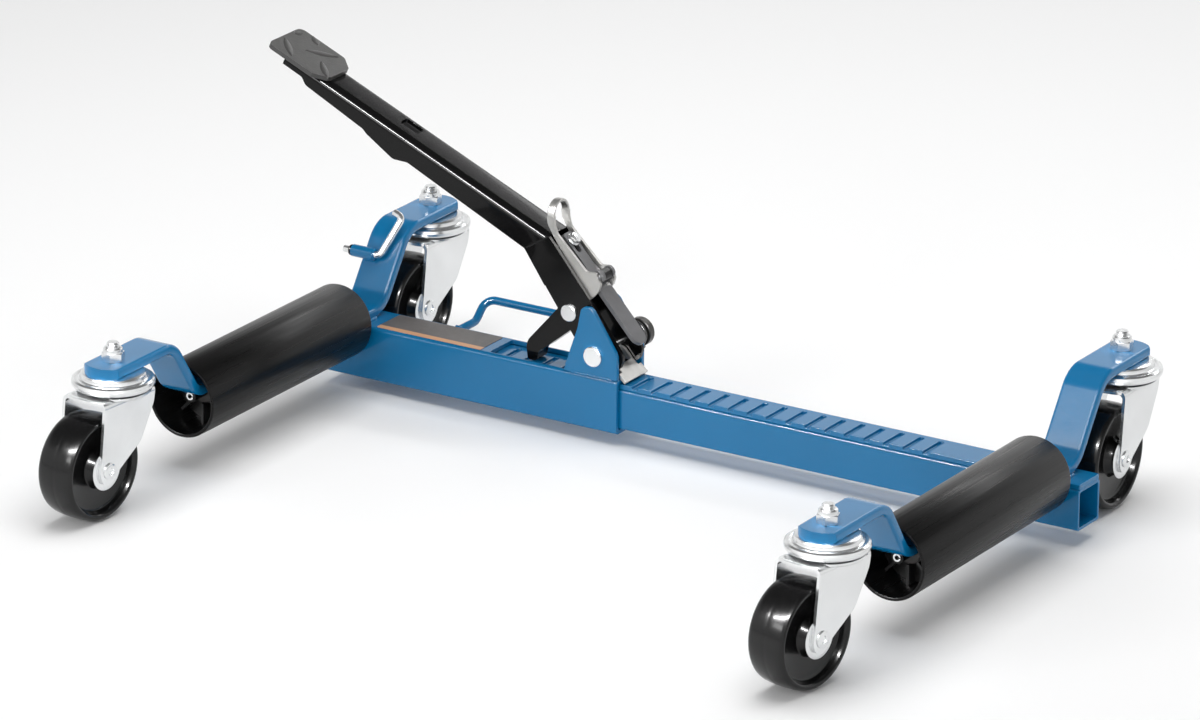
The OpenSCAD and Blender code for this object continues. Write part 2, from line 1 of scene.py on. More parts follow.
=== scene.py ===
"""Wheel dolly: the detailed look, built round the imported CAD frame.

Shapes are drawn in millimetres from the front-left caster stem on the floor, as in the
CAD source, and are moved into the frame (metres) when each piece is made.
"""

import math

import bmesh
import bpy
from mathutils import Matrix, Vector


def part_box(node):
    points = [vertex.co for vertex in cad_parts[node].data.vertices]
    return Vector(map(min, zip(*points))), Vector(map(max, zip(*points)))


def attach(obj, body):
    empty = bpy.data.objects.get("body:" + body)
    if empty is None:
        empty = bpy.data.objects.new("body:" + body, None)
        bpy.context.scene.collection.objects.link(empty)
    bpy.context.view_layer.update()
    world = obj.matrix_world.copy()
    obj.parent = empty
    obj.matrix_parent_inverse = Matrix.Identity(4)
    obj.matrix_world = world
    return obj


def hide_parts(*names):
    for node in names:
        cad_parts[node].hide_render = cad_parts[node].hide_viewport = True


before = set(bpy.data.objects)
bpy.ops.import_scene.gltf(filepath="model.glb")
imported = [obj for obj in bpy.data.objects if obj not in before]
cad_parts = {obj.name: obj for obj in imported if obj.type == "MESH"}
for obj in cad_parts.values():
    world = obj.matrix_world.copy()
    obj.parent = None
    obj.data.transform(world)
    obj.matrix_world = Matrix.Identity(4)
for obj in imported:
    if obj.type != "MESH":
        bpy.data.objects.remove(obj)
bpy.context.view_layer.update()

MM = 0.001
X3, Y3, Z3 = Vector((1, 0, 0)), Vector((0, 1, 0)), Vector((0, 0, 1))

# Driving dimensions in millimetres. PIVOT and PAWL_PIN are X and Z, YAW is in degrees.
STEM_X, STEM_Y = 762.0, 533.0
BEAM_X0, BEAM_X1 = -24.0, 307.0
BEAM_Y0, BEAM_Y1 = 382.0, 432.0
BEAM_Z0, BEAM_Z1 = 11.0, 65.0
BEAM_YC = (BEAM_Y0 + BEAM_Y1) / 2
RACK_Z = 60.5
INNER_X0, INNER_X1 = 140.0, STEM_X + 38
BAR_W, BAR_T, BAR_Z = 40.0, 10.0, 137.0
ROLLER_Z, AXLE_R = 69.0, 6.0
ROLLER_Y0, ROLLER_Y1 = 108.0, 375.0
WHEEL_R, TRAIL = 50.0, 37.0
PIVOT = (281.0, 85.0)
PAWL_PIN = (250.5, 121.0)

STEM = {"fl": (0, 0), "fr": (STEM_X, 0), "bl": (0, STEM_Y), "br": (STEM_X, STEM_Y)}
YAW = {"fl": -5.4, "fr": -8.6, "bl": -2.5, "br": 2.0}
SIDE_BODY = {"l": "frame", "r": "slider"}

tube_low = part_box("outer_tube")[0]
SHIFT = Vector((tube_low[0] - BEAM_X0 * MM, tube_low[1] - BEAM_Y0 * MM, 0.0))


# ---------------------------------------------------------------- mesh helpers

def join(*parts):
    """Several (vertices, faces) parts as one."""
    verts, faces = [], []
    for v, f in parts:
        base = len(verts)
        verts += v
        faces += [[i + base for i in face] for face in f]
    return verts, faces


def moved(part, matrix):
    """The part with every vertex taken through the matrix."""
    return [matrix @ v for v in part[0]], part[1]


def round_poly(points, radius, steps=4, closed=True):
    """The polygon with each corner replaced by an arc. radius is a number or a list."""
    pts = [Vector((p[0], p[1])) for p in points]
    count = len(pts)
    out = []
    for i, p in enumerate(pts):
        r = radius[i] if isinstance(radius, (list, tuple)) else radius
        if (not closed and i in (0, count - 1)) or r <= 0:
            out.append(p)
            continue
        a, b = pts[i - 1] - p, pts[(i + 1) % count] - p
        la, lb = a.length, b.length
        a.normalize()
        b.normalize()
        half = math.acos(max(-1, min(1, a.dot(b)))) / 2
        if half > math.pi / 2 - 0.02:
            out.append(p)
            continue
        back = min(r / math.tan(half), 0.48 * la, 0.48 * lb)
        rr = back * math.tan(half)
        centre = p + (a + b).normalized() * (rr / math.sin(half))
        s, e = p + a * back - centre, p + b * back - centre
        turn = math.atan2(s.x * e.y - s.y * e.x, s.dot(e))
        for k in range(steps + 1):
            t = turn * k / steps
            c, sn = math.cos(t), math.sin(t)
            out.append(centre + Vector((s.x * c - s.y * sn, s.x * sn + s.y * c)))
    return out


def slab(poly, origin, u, v, n, lo, hi):
    """poly in the plane (u, v) at origin, made solid from lo to hi along n."""
    o = Vector(origin)
    m = len(poly)
    verts = [o + u * p[0] + v * p[1] + n * d for d in (lo, hi) for p in poly]
    faces = [list(range(m))[::-1], [m + i for i in range(m)]]
    faces += [[i, (i + 1) % m, m + (i + 1) % m, m + i] for i in range(m)]
    return verts, faces


def plate_xz(poly, y0, y1):
    return slab(poly, (0, 0, 0), X3, Z3, Y3, y0, y1)


def plate_yz(poly, x0, x1):
    return slab(poly, (0, 0, 0), Y3, Z3, X3, x0, x1)


def plate_xy(poly, z0, z1):
    return slab(poly, (0, 0, 0), X3, Y3, Z3, z0, z1)


def loft(loops, ring=False):
    """Skin over loops of equal length: closed at both ends, or joined into a ring."""
    m = len(loops[0])
    verts = [Vector(p) for loop in loops for p in loop]
    faces = []
    last = len(loops) if ring else len(loops) - 1
    for k in range(last):
        a, b = k * m, ((k + 1) % len(loops)) * m
        faces += [[a + i, a + (i + 1) % m, b + (i + 1) % m, b + i] for i in range(m)]
    if not ring:
        faces += [list(range(m))[::-1], [(len(loops) - 1) * m + i for i in range(m)]]
    return verts, faces


def basis(axis):
    """Two directions square to the axis, and the axis itself, all of length one."""
    n = Vector(axis).normalized()
    u = n.cross(X3) if abs(n.x) < 0.7 else n.cross(Y3)
    u.normalize()
    return u, n.cross(u), n


def lathe(profile, origin, axis, sides=64):
    """profile is a closed outline of (radius, distance along axis)."""
    u, v, n = basis(axis)
    o = Vector(origin)
    loops = []
    for k in range(sides):
        t = 2 * math.pi * k / sides
        d = u * math.cos(t) + v * math.sin(t)
        loops.append([o + d * r + n * h for r, h in profile])
    return loft(loops, ring=True)


def turned(profile, origin, axis, sides=48):
    """As lathe, but solid: the profile starts and ends on the axis."""
    u, v, n = basis(axis)
    o = Vector(origin)
    verts = [o + n * profile[0][1]]
    inner = profile[1:-1]
    for r, h in inner:
        for k in range(sides):
            t = 2 * math.pi * k / sides
            verts.append(o + (u * math.cos(t) + v * math.sin(t)) * r + n * h)
    verts.append(o + n * profile[-1][1])
    faces = []
    for k in range(sides):
        j = (k + 1) % sides
        faces.append([0, 1 + j, 1 + k])
        for i in range(len(inner) - 1):
            a, b = 1 + i * sides, 1 + (i + 1) * sides
            faces.append([a + k, a + j, b + j, b + k])
        a = 1 + (len(inner) - 1) * sides
        faces.append([a + k, a + j, len(verts) - 1])
    return verts, faces


def rounded_path(points, radius, steps=8):
    """A 3-D polyline with its corners rounded."""
    pts = [Vector(p) for p in points]
    out = [pts[0]]
    for i in range(1, len(pts) - 1):
        p = pts[i]
        a, b = pts[i - 1] - p, pts[i + 1] - p
        la, lb = a.length, b.length
        a.normalize()
        b.normalize()
        half = a.angle(b) / 2
        back = min(radius / math.tan(half), 0.48 * la, 0.48 * lb)
        rr = back * math.tan(half)
        centre = p + (a + b).normalized() * (rr / math.sin(half))
        s, e = p + a * back - centre, p + b * back - centre
        whole = s.angle(e)
        for k in range(steps + 1):
            t = k / steps
            behind, ahead = math.sin((1 - t) * whole), math.sin(t * whole)
            out.append(centre + (s * behind + e * ahead) / math.sin(whole))
    return out + [pts[-1]]


def frames_along(path):
    """Tangent and a steady normal at each point."""
    tangents = []
    for i in range(len(path)):
        a, b = path[max(i - 1, 0)], path[min(i + 1, len(path) - 1)]
        tangents.append((b - a).normalized())
    u = basis(tangents[0])[0]
    out = []
    for t in tangents:
        u = (u - t * u.dot(t)).normalized()
        out.append((t, u, t.cross(u)))
    return out


def pipe(path, radius, sides=20, end=0.6):
    """Round rod along a path, with slightly rounded ends. radius may be a function of the index."""
    fr = frames_along(path)
    loops = []

    def ring(p, u, v, r):
        turns = [2 * math.pi * k / sides for k in range(sides)]
        return [p + (u * math.cos(t) + v * math.sin(t)) * r for t in turns]

    for i, p in enumerate(path):
        t, u, v = fr[i]
        r = radius(i) if callable(radius) else radius
        if i == 0:
            loops += [ring(p, u, v, r - end), ring(p + t * end * 0.3, u, v, r - end * 0.3)]
            p = p + t * end
        if i == len(path) - 1:
            loops.append(ring(p - t * end, u, v, r))
            loops += [ring(p - t * end * 0.3, u, v, r - end * 0.3), ring(p, u, v, r - end)]
            continue
        loops.append(ring(p, u, v, r))
    return loft(loops)


def rect(w, h, r, steps=4, cx=0.0, cy=0.0):
    """A rectangle round (cx, cy) with corners of radius r."""
    return round_poly([(cx - w / 2, cy - h / 2), (cx + w / 2, cy - h / 2),
                       (cx + w / 2, cy + h / 2), (cx - w / 2, cy + h / 2)], r, steps)


def mesh_object(name, part):
    """A Blender object from a part in millimetres, with its faces pointing outwards."""
    mesh = bpy.data.meshes.new(name)
    verts, faces = part
    mesh.from_pydata([tuple(v * MM + SHIFT) for v in verts], [], faces)
    bm = bmesh.new()
    bm.from_mesh(mesh)
    bmesh.ops.remove_doubles(bm, verts=bm.verts, dist=1e-7)
    bmesh.ops.recalc_face_normals(bm, faces=bm.faces)
    bm.to_mesh(mesh)
    bm.free()
    obj = bpy.data.objects.new(name, mesh)
    bpy.context.collection.objects.link(obj)
    return obj


def combine(obj, part, operation="DIFFERENCE"):
    """obj with part cut away, added or kept in common."""
    tool = mesh_object(obj.name + "_tool", part)
    mod = obj.modifiers.new("cut", "BOOLEAN")
    mod.operation, mod.solver, mod.object = operation, "EXACT", tool
    mod.use_self = True
    deps = bpy.context.evaluated_depsgraph_get()
    mesh = bpy.data.meshes.new_from_object(obj.evaluated_get(deps))
    obj.modifiers.clear()
    old = obj.data
    obj.data = mesh
    mesh.name = obj.name
    bpy.data.meshes.remove(old)
    old_tool = tool.data
    bpy.data.objects.remove(tool)
    bpy.data.meshes.remove(old_tool)
    return obj


def finished(obj, material, body, nodes=(), slot=None, bevel=0.0, segments=3, angle=32):
    """Material, soft edges and even shading, then the piece's place in the model."""
    mesh = obj.data
    mesh.materials.clear()
    mesh.materials.append(material)
    mesh.polygons.foreach_set("use_smooth", [True] * len(mesh.polygons))
    if bevel > 0:
        mod = obj.modifiers.new("edges", "BEVEL")
        mod.width, mod.segments = bevel * MM, segments
        mod.limit_method, mod.angle_limit = "ANGLE", math.radians(angle)
        mod.use_clamp_overlap = True
        mod.miter_outer = "MITER_ARC"
        even = obj.modifiers.new("shading", "WEIGHTED_NORMAL")
        even.mode, even.weight, even.keep_sharp = "FACE_AREA", 60, False
    else:
        mesh.set_sharp_from_angle(angle=math.radians(angle))
    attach(obj, body)
    if nodes:
        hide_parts(*([nodes] if isinstance(nodes, str) else nodes))
    return obj


def piece(name, part, material, body, nodes=(), slot=None, **kw):
    """A finished object made straight from a part."""
    return finished(mesh_object(name, part), material, body, nodes, slot, **kw)


# ---------------------------------------------------------------- materials

BUMP_DEPTH = 0.4 * MM


def shader(name, base, rough, metallic=0.0, coat=0.0, coat_rough=0.05, specular=0.5,
           vary=0.08, rough_vary=0.08, scale=14.0, stretch=(1, 1, 1), bump=0.05,
           bump_scale=900.0, bump_stretch=(1, 1, 1), speck=0.0, speck_colour=None,
           speck_scale=160.0):
    """A surface with broad colour clouds, small specks, uneven gloss and a fine bump."""
    mat = bpy.data.materials.new(name)
    mat.use_nodes = True
    tree = mat.node_tree
    n, link = tree.nodes, tree.links.new
    bsdf = n["Principled BSDF"]
    bsdf.inputs["Metallic"].default_value = metallic
    bsdf.inputs["Coat Weight"].default_value = coat
    bsdf.inputs["Coat Roughness"].default_value = coat_rough
    bsdf.inputs["Specular IOR Level"].default_value = specular
    coords = n.new("ShaderNodeTexCoord")

    def mapped(stretched):
        m = n.new("ShaderNodeMapping")
        m.inputs["Scale"].default_value = stretched
        link(coords.outputs["Object"], m.inputs["Vector"])
        return m.outputs["Vector"]

    def noise(size, detail, stretched):
        t = n.new("ShaderNodeTexNoise")
        t.inputs["Scale"].default_value = size
        t.inputs["Detail"].default_value = detail
        link(mapped(stretched), t.inputs["Vector"])
        return t.outputs["Fac"]

    broad = noise(scale, 5.0, stretch)
    ramp = n.new("ShaderNodeValToRGB")
    ramp.color_ramp.elements[0].position, ramp.color_ramp.elements[1].position = 0.3, 0.7
    ramp.color_ramp.elements[0].color = [c * (1 - vary) for c in base] + [1]
    ramp.color_ramp.elements[1].color = [min(1, c * (1 + vary)) for c in base] + [1]
    link(broad, ramp.inputs["Fac"])
    colour = ramp.outputs["Color"]
    if speck > 0:
        spots = n.new("ShaderNodeValToRGB")
        spots.color_ramp.elements[0].position, spots.color_ramp.elements[1].position = 0.66, 0.74
        spots.color_ramp.elements[1].color = [speck] * 3 + [1]
        link(noise(speck_scale, 3.0, (1, 1, 1)), spots.inputs["Fac"])
        mix = n.new("ShaderNodeMix")
        mix.data_type = "RGBA"
        link(spots.outputs["Color"], mix.inputs["Factor"])
        link(colour, mix.inputs["A"])
        mix.inputs["B"].default_value = list(speck_colour or [c * 0.5 for c in base]) + [1]
        colour = mix.outputs["Result"]
    link(colour, bsdf.inputs["Base Color"])
    fine = noise(scale * 6, 6.0, stretch)
    span = n.new("ShaderNodeMapRange")
    span.inputs["To Min"].default_value = max(0.02, rough - rough_vary)
    span.inputs["To Max"].default_value = rough + rough_vary
    link(fine, span.inputs["Value"])
    link(span.outputs["Result"], bsdf.inputs["Roughness"])
    if bump > 0:
        b = n.new("ShaderNodeBump")
        b.inputs["Strength"].default_value = bump
        b.inputs["Distance"].default_value = BUMP_DEPTH
        link(noise(bump_scale, 2.0, bump_stretch), b.inputs["Height"])
        link(b.outputs["Normal"], bsdf.inputs["Normal"])
    return mat


BLUE = shader("blue_powder_coat", (0.002, 0.150, 0.345), 0.24, coat=0.5, specular=0.15,
              vary=0.05, rough_vary=0.05, scale=9, bump=0.06, bump_scale=420,
              speck=0.08, speck_colour=(0.01, 0.19, 0.42), speck_scale=240)
BLACK_PAINT = shader("black_gloss_paint", (0.0035, 0.0035, 0.0036), 0.20, coat=0.25, specular=0.09,
                     vary=0.2, rough_vary=0.05, scale=12, bump_scale=380,
                     speck=0.10, speck_colour=(0.009, 0.009, 0.0095), speck_scale=300)
PAD_GREY = shader("pad_satin_steel", (0.040, 0.039, 0.038), 0.40, coat=0.2, coat_rough=0.2,
                  vary=0.2, rough_vary=0.1, scale=30, bump=0.3, bump_scale=500,
                  speck=0.25, speck_colour=(0.09, 0.088, 0.086), speck_scale=420)
DARK_STEEL = shader("dark_steel", (0.034, 0.031, 0.029), 0.34, metallic=0.2, vary=0.2, scale=40,
                    bump=0.08, bump_scale=600,
                    speck=0.2, speck_colour=(0.07, 0.068, 0.066), speck_scale=350)
STRAP_GREY = shader("strap_satin_steel", (0.125, 0.125, 0.130), 0.36, metallic=0.3, vary=0.15,
                    scale=40, bump=0.08, bump_scale=600,
                    speck=0.2, speck_colour=(0.17, 0.17, 0.17), speck_scale=350)
ROLLER_BLACK = shader("roller_extruded_plastic", (0.0055, 0.0053, 0.0053), 0.30, coat=0.05,
                      coat_rough=0.2, specular=0.16, vary=0.6, rough_vary=0.12, scale=70,
                      stretch=(1, 0.02, 1), bump=0.6, bump_scale=260, bump_stretch=(1, 0.01, 1),
                      speck=0.06, speck_colour=(0.025, 0.025, 0.025), speck_scale=500)
WHEEL_BLACK = shader("wheel_moulded_plastic", (0.0045, 0.0045, 0.0047), 0.22, coat=0.15,
                     coat_rough=0.08, vary=0.2, specular=0.25, rough_vary=0.05, scale=25,
                     bump=0.03, bump_scale=300,
                     speck=0.05, speck_colour=(0.015, 0.015, 0.015), speck_scale=400)
SPRING_BLACK = shader("spring_black_oxide", (0.010, 0.010, 0.011), 0.24, specular=0.7, coat=0.4,
                      vary=0.2, scale=60)
HUB_BLACK = shader("hub_moulded_plastic", (0.016, 0.016, 0.016), 0.32, vary=0.2, scale=30)
ZINC = shader("bright_zinc_plate", (0.74, 0.75, 0.755), 0.22, metallic=0.95, vary=0.05,
              rough_vary=0.07, scale=30, bump=0.025, bump_scale=180,
              speck=0.10, speck_colour=(0.60, 0.60, 0.58), speck_scale=90)
BRUSHED = shader("brushed_zinc_strip", (0.44, 0.435, 0.42), 0.34, metallic=0.9, vary=0.10,
                 rough_vary=0.12, scale=50, stretch=(0.25, 1, 0.25), bump=0.12, bump_scale=600,
                 bump_stretch=(0.08, 1, 0.08), speck=0.15, speck_colour=(0.34, 0.33, 0.31))


def label_material():
    """Blank label: grey foil with a plain coloured band along one edge and no print."""
    mat = shader("blank_label_foil", (0.115, 0.105, 0.10), 0.38, vary=0.15, scale=30, bump=0.04,
                 speck=0.35, speck_colour=(0.19, 0.18, 0.17), speck_scale=420)
    tree = mat.node_tree
    n, link = tree.nodes, tree.links.new
    bsdf = n["Principled BSDF"]
    source = bsdf.inputs["Base Color"].links[0].from_socket
    coords = n.new("ShaderNodeTexCoord")
    split = n.new("ShaderNodeSeparateXYZ")
    link(coords.outputs["Object"], split.inputs["Vector"])
    band = n.new("ShaderNodeMapRange")
    band.interpolation_type = "SMOOTHSTEP"
    edge = BEAM_Y0 + 11
    band.inputs["From Min"].default_value = (edge + 0.4) * MM + SHIFT.y
    band.inputs["From Max"].default_value = edge * MM + SHIFT.y
    link(split.outputs["Y"], band.inputs["Value"])
    mix = n.new("ShaderNodeMix")
    mix.data_type = "RGBA"
    link(band.outputs["Result"], mix.inputs["Factor"])
    link(source, mix.inputs["A"])
    mix.inputs["B"].default_value = (0.62, 0.33, 0.17, 1)
    link(mix.outputs["Result"], bsdf.inputs["Base Color"])
    return mat


LABEL = label_material()


# ---------------------------------------------------------------- welds

def bead(name, points, radius, body, material=BLUE, slot="blue_paint"):
    """A weld bead: a rippled half-sunk rod along the joint."""
    pts = [Vector(p) for p in points]
    dense = []
    for a, b in zip(pts, pts[1:]):
        steps = max(2, int((b - a).length / 1.1))
        dense += [a.lerp(b, k / steps) for k in range(steps)]
    dense.append(pts[-1])

    def ripple(i):
        tail = min(i, len(dense) - 1 - i)
        return radius * (0.80 + 0.20 * abs(math.sin(i * 0.95))) * min(1.0, 0.55 + 0.16 * tail)

    return piece(name, pipe(dense, ripple, sides=12, end=0.4), material, body, (), slot, angle=70)


# ---------------------------------------------------------------- brackets

BACK_SLOPE, BACK_Y = 1.45, 467.5
TIP_R = 27.0
FOOT_Z = ROLLER_Z + AXLE_R + BAR_T / 2


def bar_sweep(x, path, bend):
    """A flat bar bent in the YZ plane, with rounded long edges."""
    flat = round_poly(path, [0] + [bend] * (len(path) - 2) + [0], 14, closed=False)
    loops = []
    for i, p in enumerate(flat):
        a, b = flat[max(i - 1, 0)], flat[min(i + 1, len(flat) - 1)]
        t = (b - a).normalized()
        nrm = Vector((-t.y, t.x))
        loops.append([Vector((x + q[0], p[0] + nrm[0] * q[1], p[1] + nrm[1] * q[1]))
                      for q in rect(BAR_W, BAR_T, 3.4, 5)])
    return loft(loops)


def rounded_tip(x, y_stem, away):
    """Plan of a bar whose stem end is an arc round the stem."""
    t0 = math.asin(BAR_W / 2 / TIP_R)
    arc = [(x + TIP_R * math.sin(t), y_stem - away * TIP_R * math.cos(t))
           for t in [t0 * (k / 12 - 1) for k in range(25)]]
    side, far = BAR_W / 2 + 1, y_stem + away * 200
    near = arc[0][1]
    return [(x - side, far), (x - side, near)] + arc + [(x + side, near), (x + side, far)]


def front_path():
    """From beyond the stem down to the roller axle, as Y and Z."""
    return [(-30, BAR_Z), (71, BAR_Z), (109, FOOT_Z), (136, FOOT_Z)]


def back_path(y0, z0):
    """From the beam's top at y0, z0 up the slope and past the stem, as Y and Z."""
    zc = z0 + BAR_T / 2
    foot_y = BACK_Y - (BAR_Z - zc) / BACK_SLOPE
    return [(y0, zc), (foot_y, zc), (BACK_Y, BAR_Z), (STEM_Y + 30, BAR_Z)]


def bracket(name, x, path, bend, y_stem, away, body, node):
    """One bent bar with its stem end rounded; away points from the stem along the bar."""
    bar = mesh_object(name, bar_sweep(x, path, bend))
    combine(bar, plate_xy(rounded_tip(x, y_stem, away), 0, 200), "INTERSECT")
    finished(bar, BLUE, body, node, "blue_paint", bevel=1.7, segments=4, angle=58)


for x, side, body in ((0, "left", "frame"), (STEM_X, "right", "slider")):
    bracket(f"front_{side}_bar", x, front_path(), 24, 0, 1, body, f"front_{side}_bracket")
    y0, z0 = (BEAM_Y0, BEAM_Z1) if side == "left" else (BEAM_Y0 + 2, RACK_Z)
    bracket(f"rear_{side}_bar", x, back_path(y0, z0), 30, STEM_Y, -1, body,
            f"rear_{side}_bracket")
    for k, xs in enumerate((x - BAR_W / 2, x + BAR_W / 2)):
        bead(f"weld_foot_{side}_{k}", [(xs, y0 + 4, z0 + 0.6), (xs, y0 + 26, z0 + 0.6)], 2.3, body)
    bead(f"weld_toe_{side}", [(x - 18, y0 + 0.6, z0 + 5), (x + 18, y0 + 0.6, z0 + 5)], 2.2, body)
    bead(f"weld_axle_{side}", [(x - 6, 124, 75.6), (x - 6.2, 134, 75.6)], 1.8, body)


# ---------------------------------------------------------------- beam

def tube(x0, x1, yc, zc, w, h, wall, r_out, r_in):
    """A box section along X with rounded corners, open at both ends."""
    outer = rect(w, h, r_out, 5, yc, zc)
    inner = rect(w - 2 * wall, h - 2 * wall, r_in, 5, yc, zc)
    m = len(outer)
    verts, faces = [], []
    for x in (x0, x1):
        verts += [Vector((x, p[0], p[1])) for p in outer + inner]
    for i in range(m):
        j = (i + 1) % m
        faces += [[i, j, 2 * m + j, 2 * m + i], [m + j, m + i, 3 * m + i, 3 * m + j],
                  [j, i, m + i, m + j], [2 * m + i, 2 * m + j, 3 * m + j, 3 * m + i]]
    return verts, faces


beam = mesh_object("outer_beam", tube(BEAM_X0, BEAM_X1, BEAM_YC, (BEAM_Z0 + BEAM_Z1) / 2,
                                      BEAM_Y1 - BEAM_Y0, BEAM_Z1 - BEAM_Z0, 4, 4.2, 2.0))
WINDOW_X0, WINDOW_X1 = 162, 249
window = rect(WINDOW_X1 - WINDOW_X0, 40, 3.5, 5, (WINDOW_X0 + WINDOW_X1) / 2, BEAM_YC)
combine(beam, plate_xy(window, 58.5, 66))
finished(beam, BLUE, "frame", "outer_tube", "blue_paint", bevel=0.9)

piece("inner_beam", tube(INNER_X0, INNER_X1, BEAM_YC, 35.5, 40, 40, 3, 3.0, 1.2), BLUE, "slider",
      "inner_tube", "blue_paint", bevel=0.7)

RACK_X0, RACK_BOTTOM = INNER_X0 + 5, RACK_Z - 5
SLOT_X, SLOT_PITCH, SLOT_R = 323, 21, 3
rack_plan = rect(INNER_X1 - RACK_X0, 37, 0.8, 2, (INNER_X1 + RACK_X0) / 2, BEAM_YC)
rack = mesh_object("rack_strip", plate_xy(rack_plan, RACK_BOTTOM, RACK_Z))
cutters = []
for i in range(-7, 16):
    cx = SLOT_X + SLOT_PITCH * i
    outline = [(cx - SLOT_R, 385), (cx + SLOT_R, 385)]
    outline += [(cx + SLOT_R * math.cos(math.pi * k / 8), 417 + SLOT_R * math.sin(math.pi * k / 8))
                for k in range(9)]
    cutters.append(plate_xy(outline, RACK_Z - 3, RACK_Z + 2))
combine(rack, join(*cutters))
finished(rack, BLUE, "slider", "rack_plate", "blue_paint", bevel=0.7)
bead("weld_rack_end", [(INNER_X1 - 0.8, 389.5, 56), (INNER_X1 - 0.8, 424.5, 56)], 1.2, "slider")

EAR = [(248, BEAM_Z1), (250.3, 74), (262.5, 109), (266.5, 129), (270, 132), (277, 132.5),
       (280.5, 130), (305.6, 92), (BEAM_X1, 87), (BEAM_X1, BEAM_Z1)]
EAR_T = 5
ear_shape = round_poly(EAR, [0, 6, 8, 3, 3, 3, 4, 6, 2, 0], 4)
piece("front_ear_plate", plate_xz(ear_shape, BEAM_Y0, BEAM_Y0 + EAR_T), BLUE, "frame", "front_ear",
      "blue_paint", bevel=1.1)
piece("rear_ear_plate", plate_xz(ear_shape, BEAM_Y1 - EAR_T, BEAM_Y1), BLUE, "frame", "rear_ear",
      "blue_paint", bevel=1.1)
for k, y in enumerate((BEAM_Y0 + 5.2, BEAM_Y1 - 5.2)):
    bead(f"weld_ear_{k}", [(251, y, BEAM_Z1 + 0.4), (303, y, BEAM_Z1 + 0.4)], 1.5, "frame")
    edge = y - 3 if k == 0 else y + 3
    ends = [(248.3, edge - 1.4, BEAM_Z1 + 0.8), (248.3, edge + 1.6, BEAM_Z1 + 0.8)]
    bead(f"weld_ear_end_{k}", ends, 1.6, "frame")
for y in (BEAM_Y0 + 0.5, BEAM_Y1 - 0.5):
    base = [(254, y, BEAM_Z1 + 0.2), (301, y, BEAM_Z1 + 0.2)]
    bead(f"weld_ear_base_{int(y)}", base, 1.25, "frame")

HANDLE_X, HANDLE_Z, HANDLE_R = (98, 238), 60.5, 4.0
corners = [(BEAM_Y1, HANDLE_Z), (BEAM_Y1 + 30, HANDLE_Z), (BEAM_Y1 + 49, 78)]
left_half = [(HANDLE_X[0], y, z) for y, z in corners]
right_half = [(HANDLE_X[1], y, z) for y, z in corners[::-1]]
piece("carry_rod", pipe(rounded_path(left_half + right_half, 11, 8), HANDLE_R, 24, 0.5), BLUE,
      "frame", "carry_handle", "blue_paint", angle=60)
for k, x in enumerate(HANDLE_X):
    turns = [math.pi * 2 * i / 14 for i in range(15)]
    ring = [(x + 4.3 * math.cos(t), BEAM_Y1 + 0.6, HANDLE_Z + 4.3 * math.sin(t))
            for t in turns if HANDLE_Z + 4.3 * math.sin(t) < BEAM_Z1 - 0.4]
    bead(f"weld_handle_{k}", ring, 1.4, "frame")

label = plate_xy(rect(118, 41, 2.0, 4, 93, BEAM_Y0 + 24.5), BEAM_Z1, BEAM_Z1 + 0.45)
piece("plain_label", label, LABEL, "frame", "blank_label", "label", bevel=0.12, segments=1)


# ---------------------------------------------------------------- rollers

ROLLER_END = [(36.5, 1.6), (36.1, 0.5), (35.2, 0), (34.2, 0), (33.3, 0.6), (33, 1.8)]


def roller(x, side, body):
    """A plastic tube with rounded end lips on two ribbed hubs."""
    axis = (x, 0, ROLLER_Z)
    profile = [(r, ROLLER_Y0 + d) for r, d in ROLLER_END]
    profile += [(r, ROLLER_Y1 - d) for r, d in ROLLER_END[::-1]]
    piece(f"roller_{side}_skin", lathe(profile, axis, Y3, 96), ROLLER_BLACK, body,
          f"roller_{side}", "roller_plastic", angle=40)
    hubs = []
    for web, boss, ribs in ((153, 146, (142, 154)), (353, 346, (360, 370))):
        disc = [(6.05, web), (32.9, web), (32.9, web + 8), (6.05, web + 8)]
        hubs.append(lathe(disc, axis, Y3, 64))
        half = [(6.05, 0.8), (6.8, 0), (13.2, 0), (14, 0.8)]
        sleeve = [(r, boss + d) for r, d in half] + [(r, boss + 22 - d) for r, d in half[::-1]]
        hubs.append(lathe(sleeve, axis, Y3, 48))
        for k in range(8):
            t = math.pi * 2 * k / 8
            u = Vector((math.cos(t), 0, math.sin(t)))
            v = Vector((-math.sin(t), 0, math.cos(t)))
            rib = [(13.5, -1.4), (32.8, -1.4), (32.8, 1.4), (13.5, 1.4)]
            hubs.append(slab(rib, axis, u, v, Y3, *ribs))
    piece(f"roller_{side}_ribs", join(*hubs), HUB_BLACK, body, f"roller_{side}_hubs",
          "roller_plastic", angle=30)


roller(0, "left", "roller_l")
roller(STEM_X, "right", "roller_r")


# ---------------------------------------------------------------- casters

def hexagon(across, turn):
    """Corners of a hexagon with the given width across flats."""
    r = across / math.sqrt(3)
    turns = [math.radians(60 * k + turn) for k in range(6)]
    return [(r * math.cos(t), r * math.sin(t)) for t in turns]


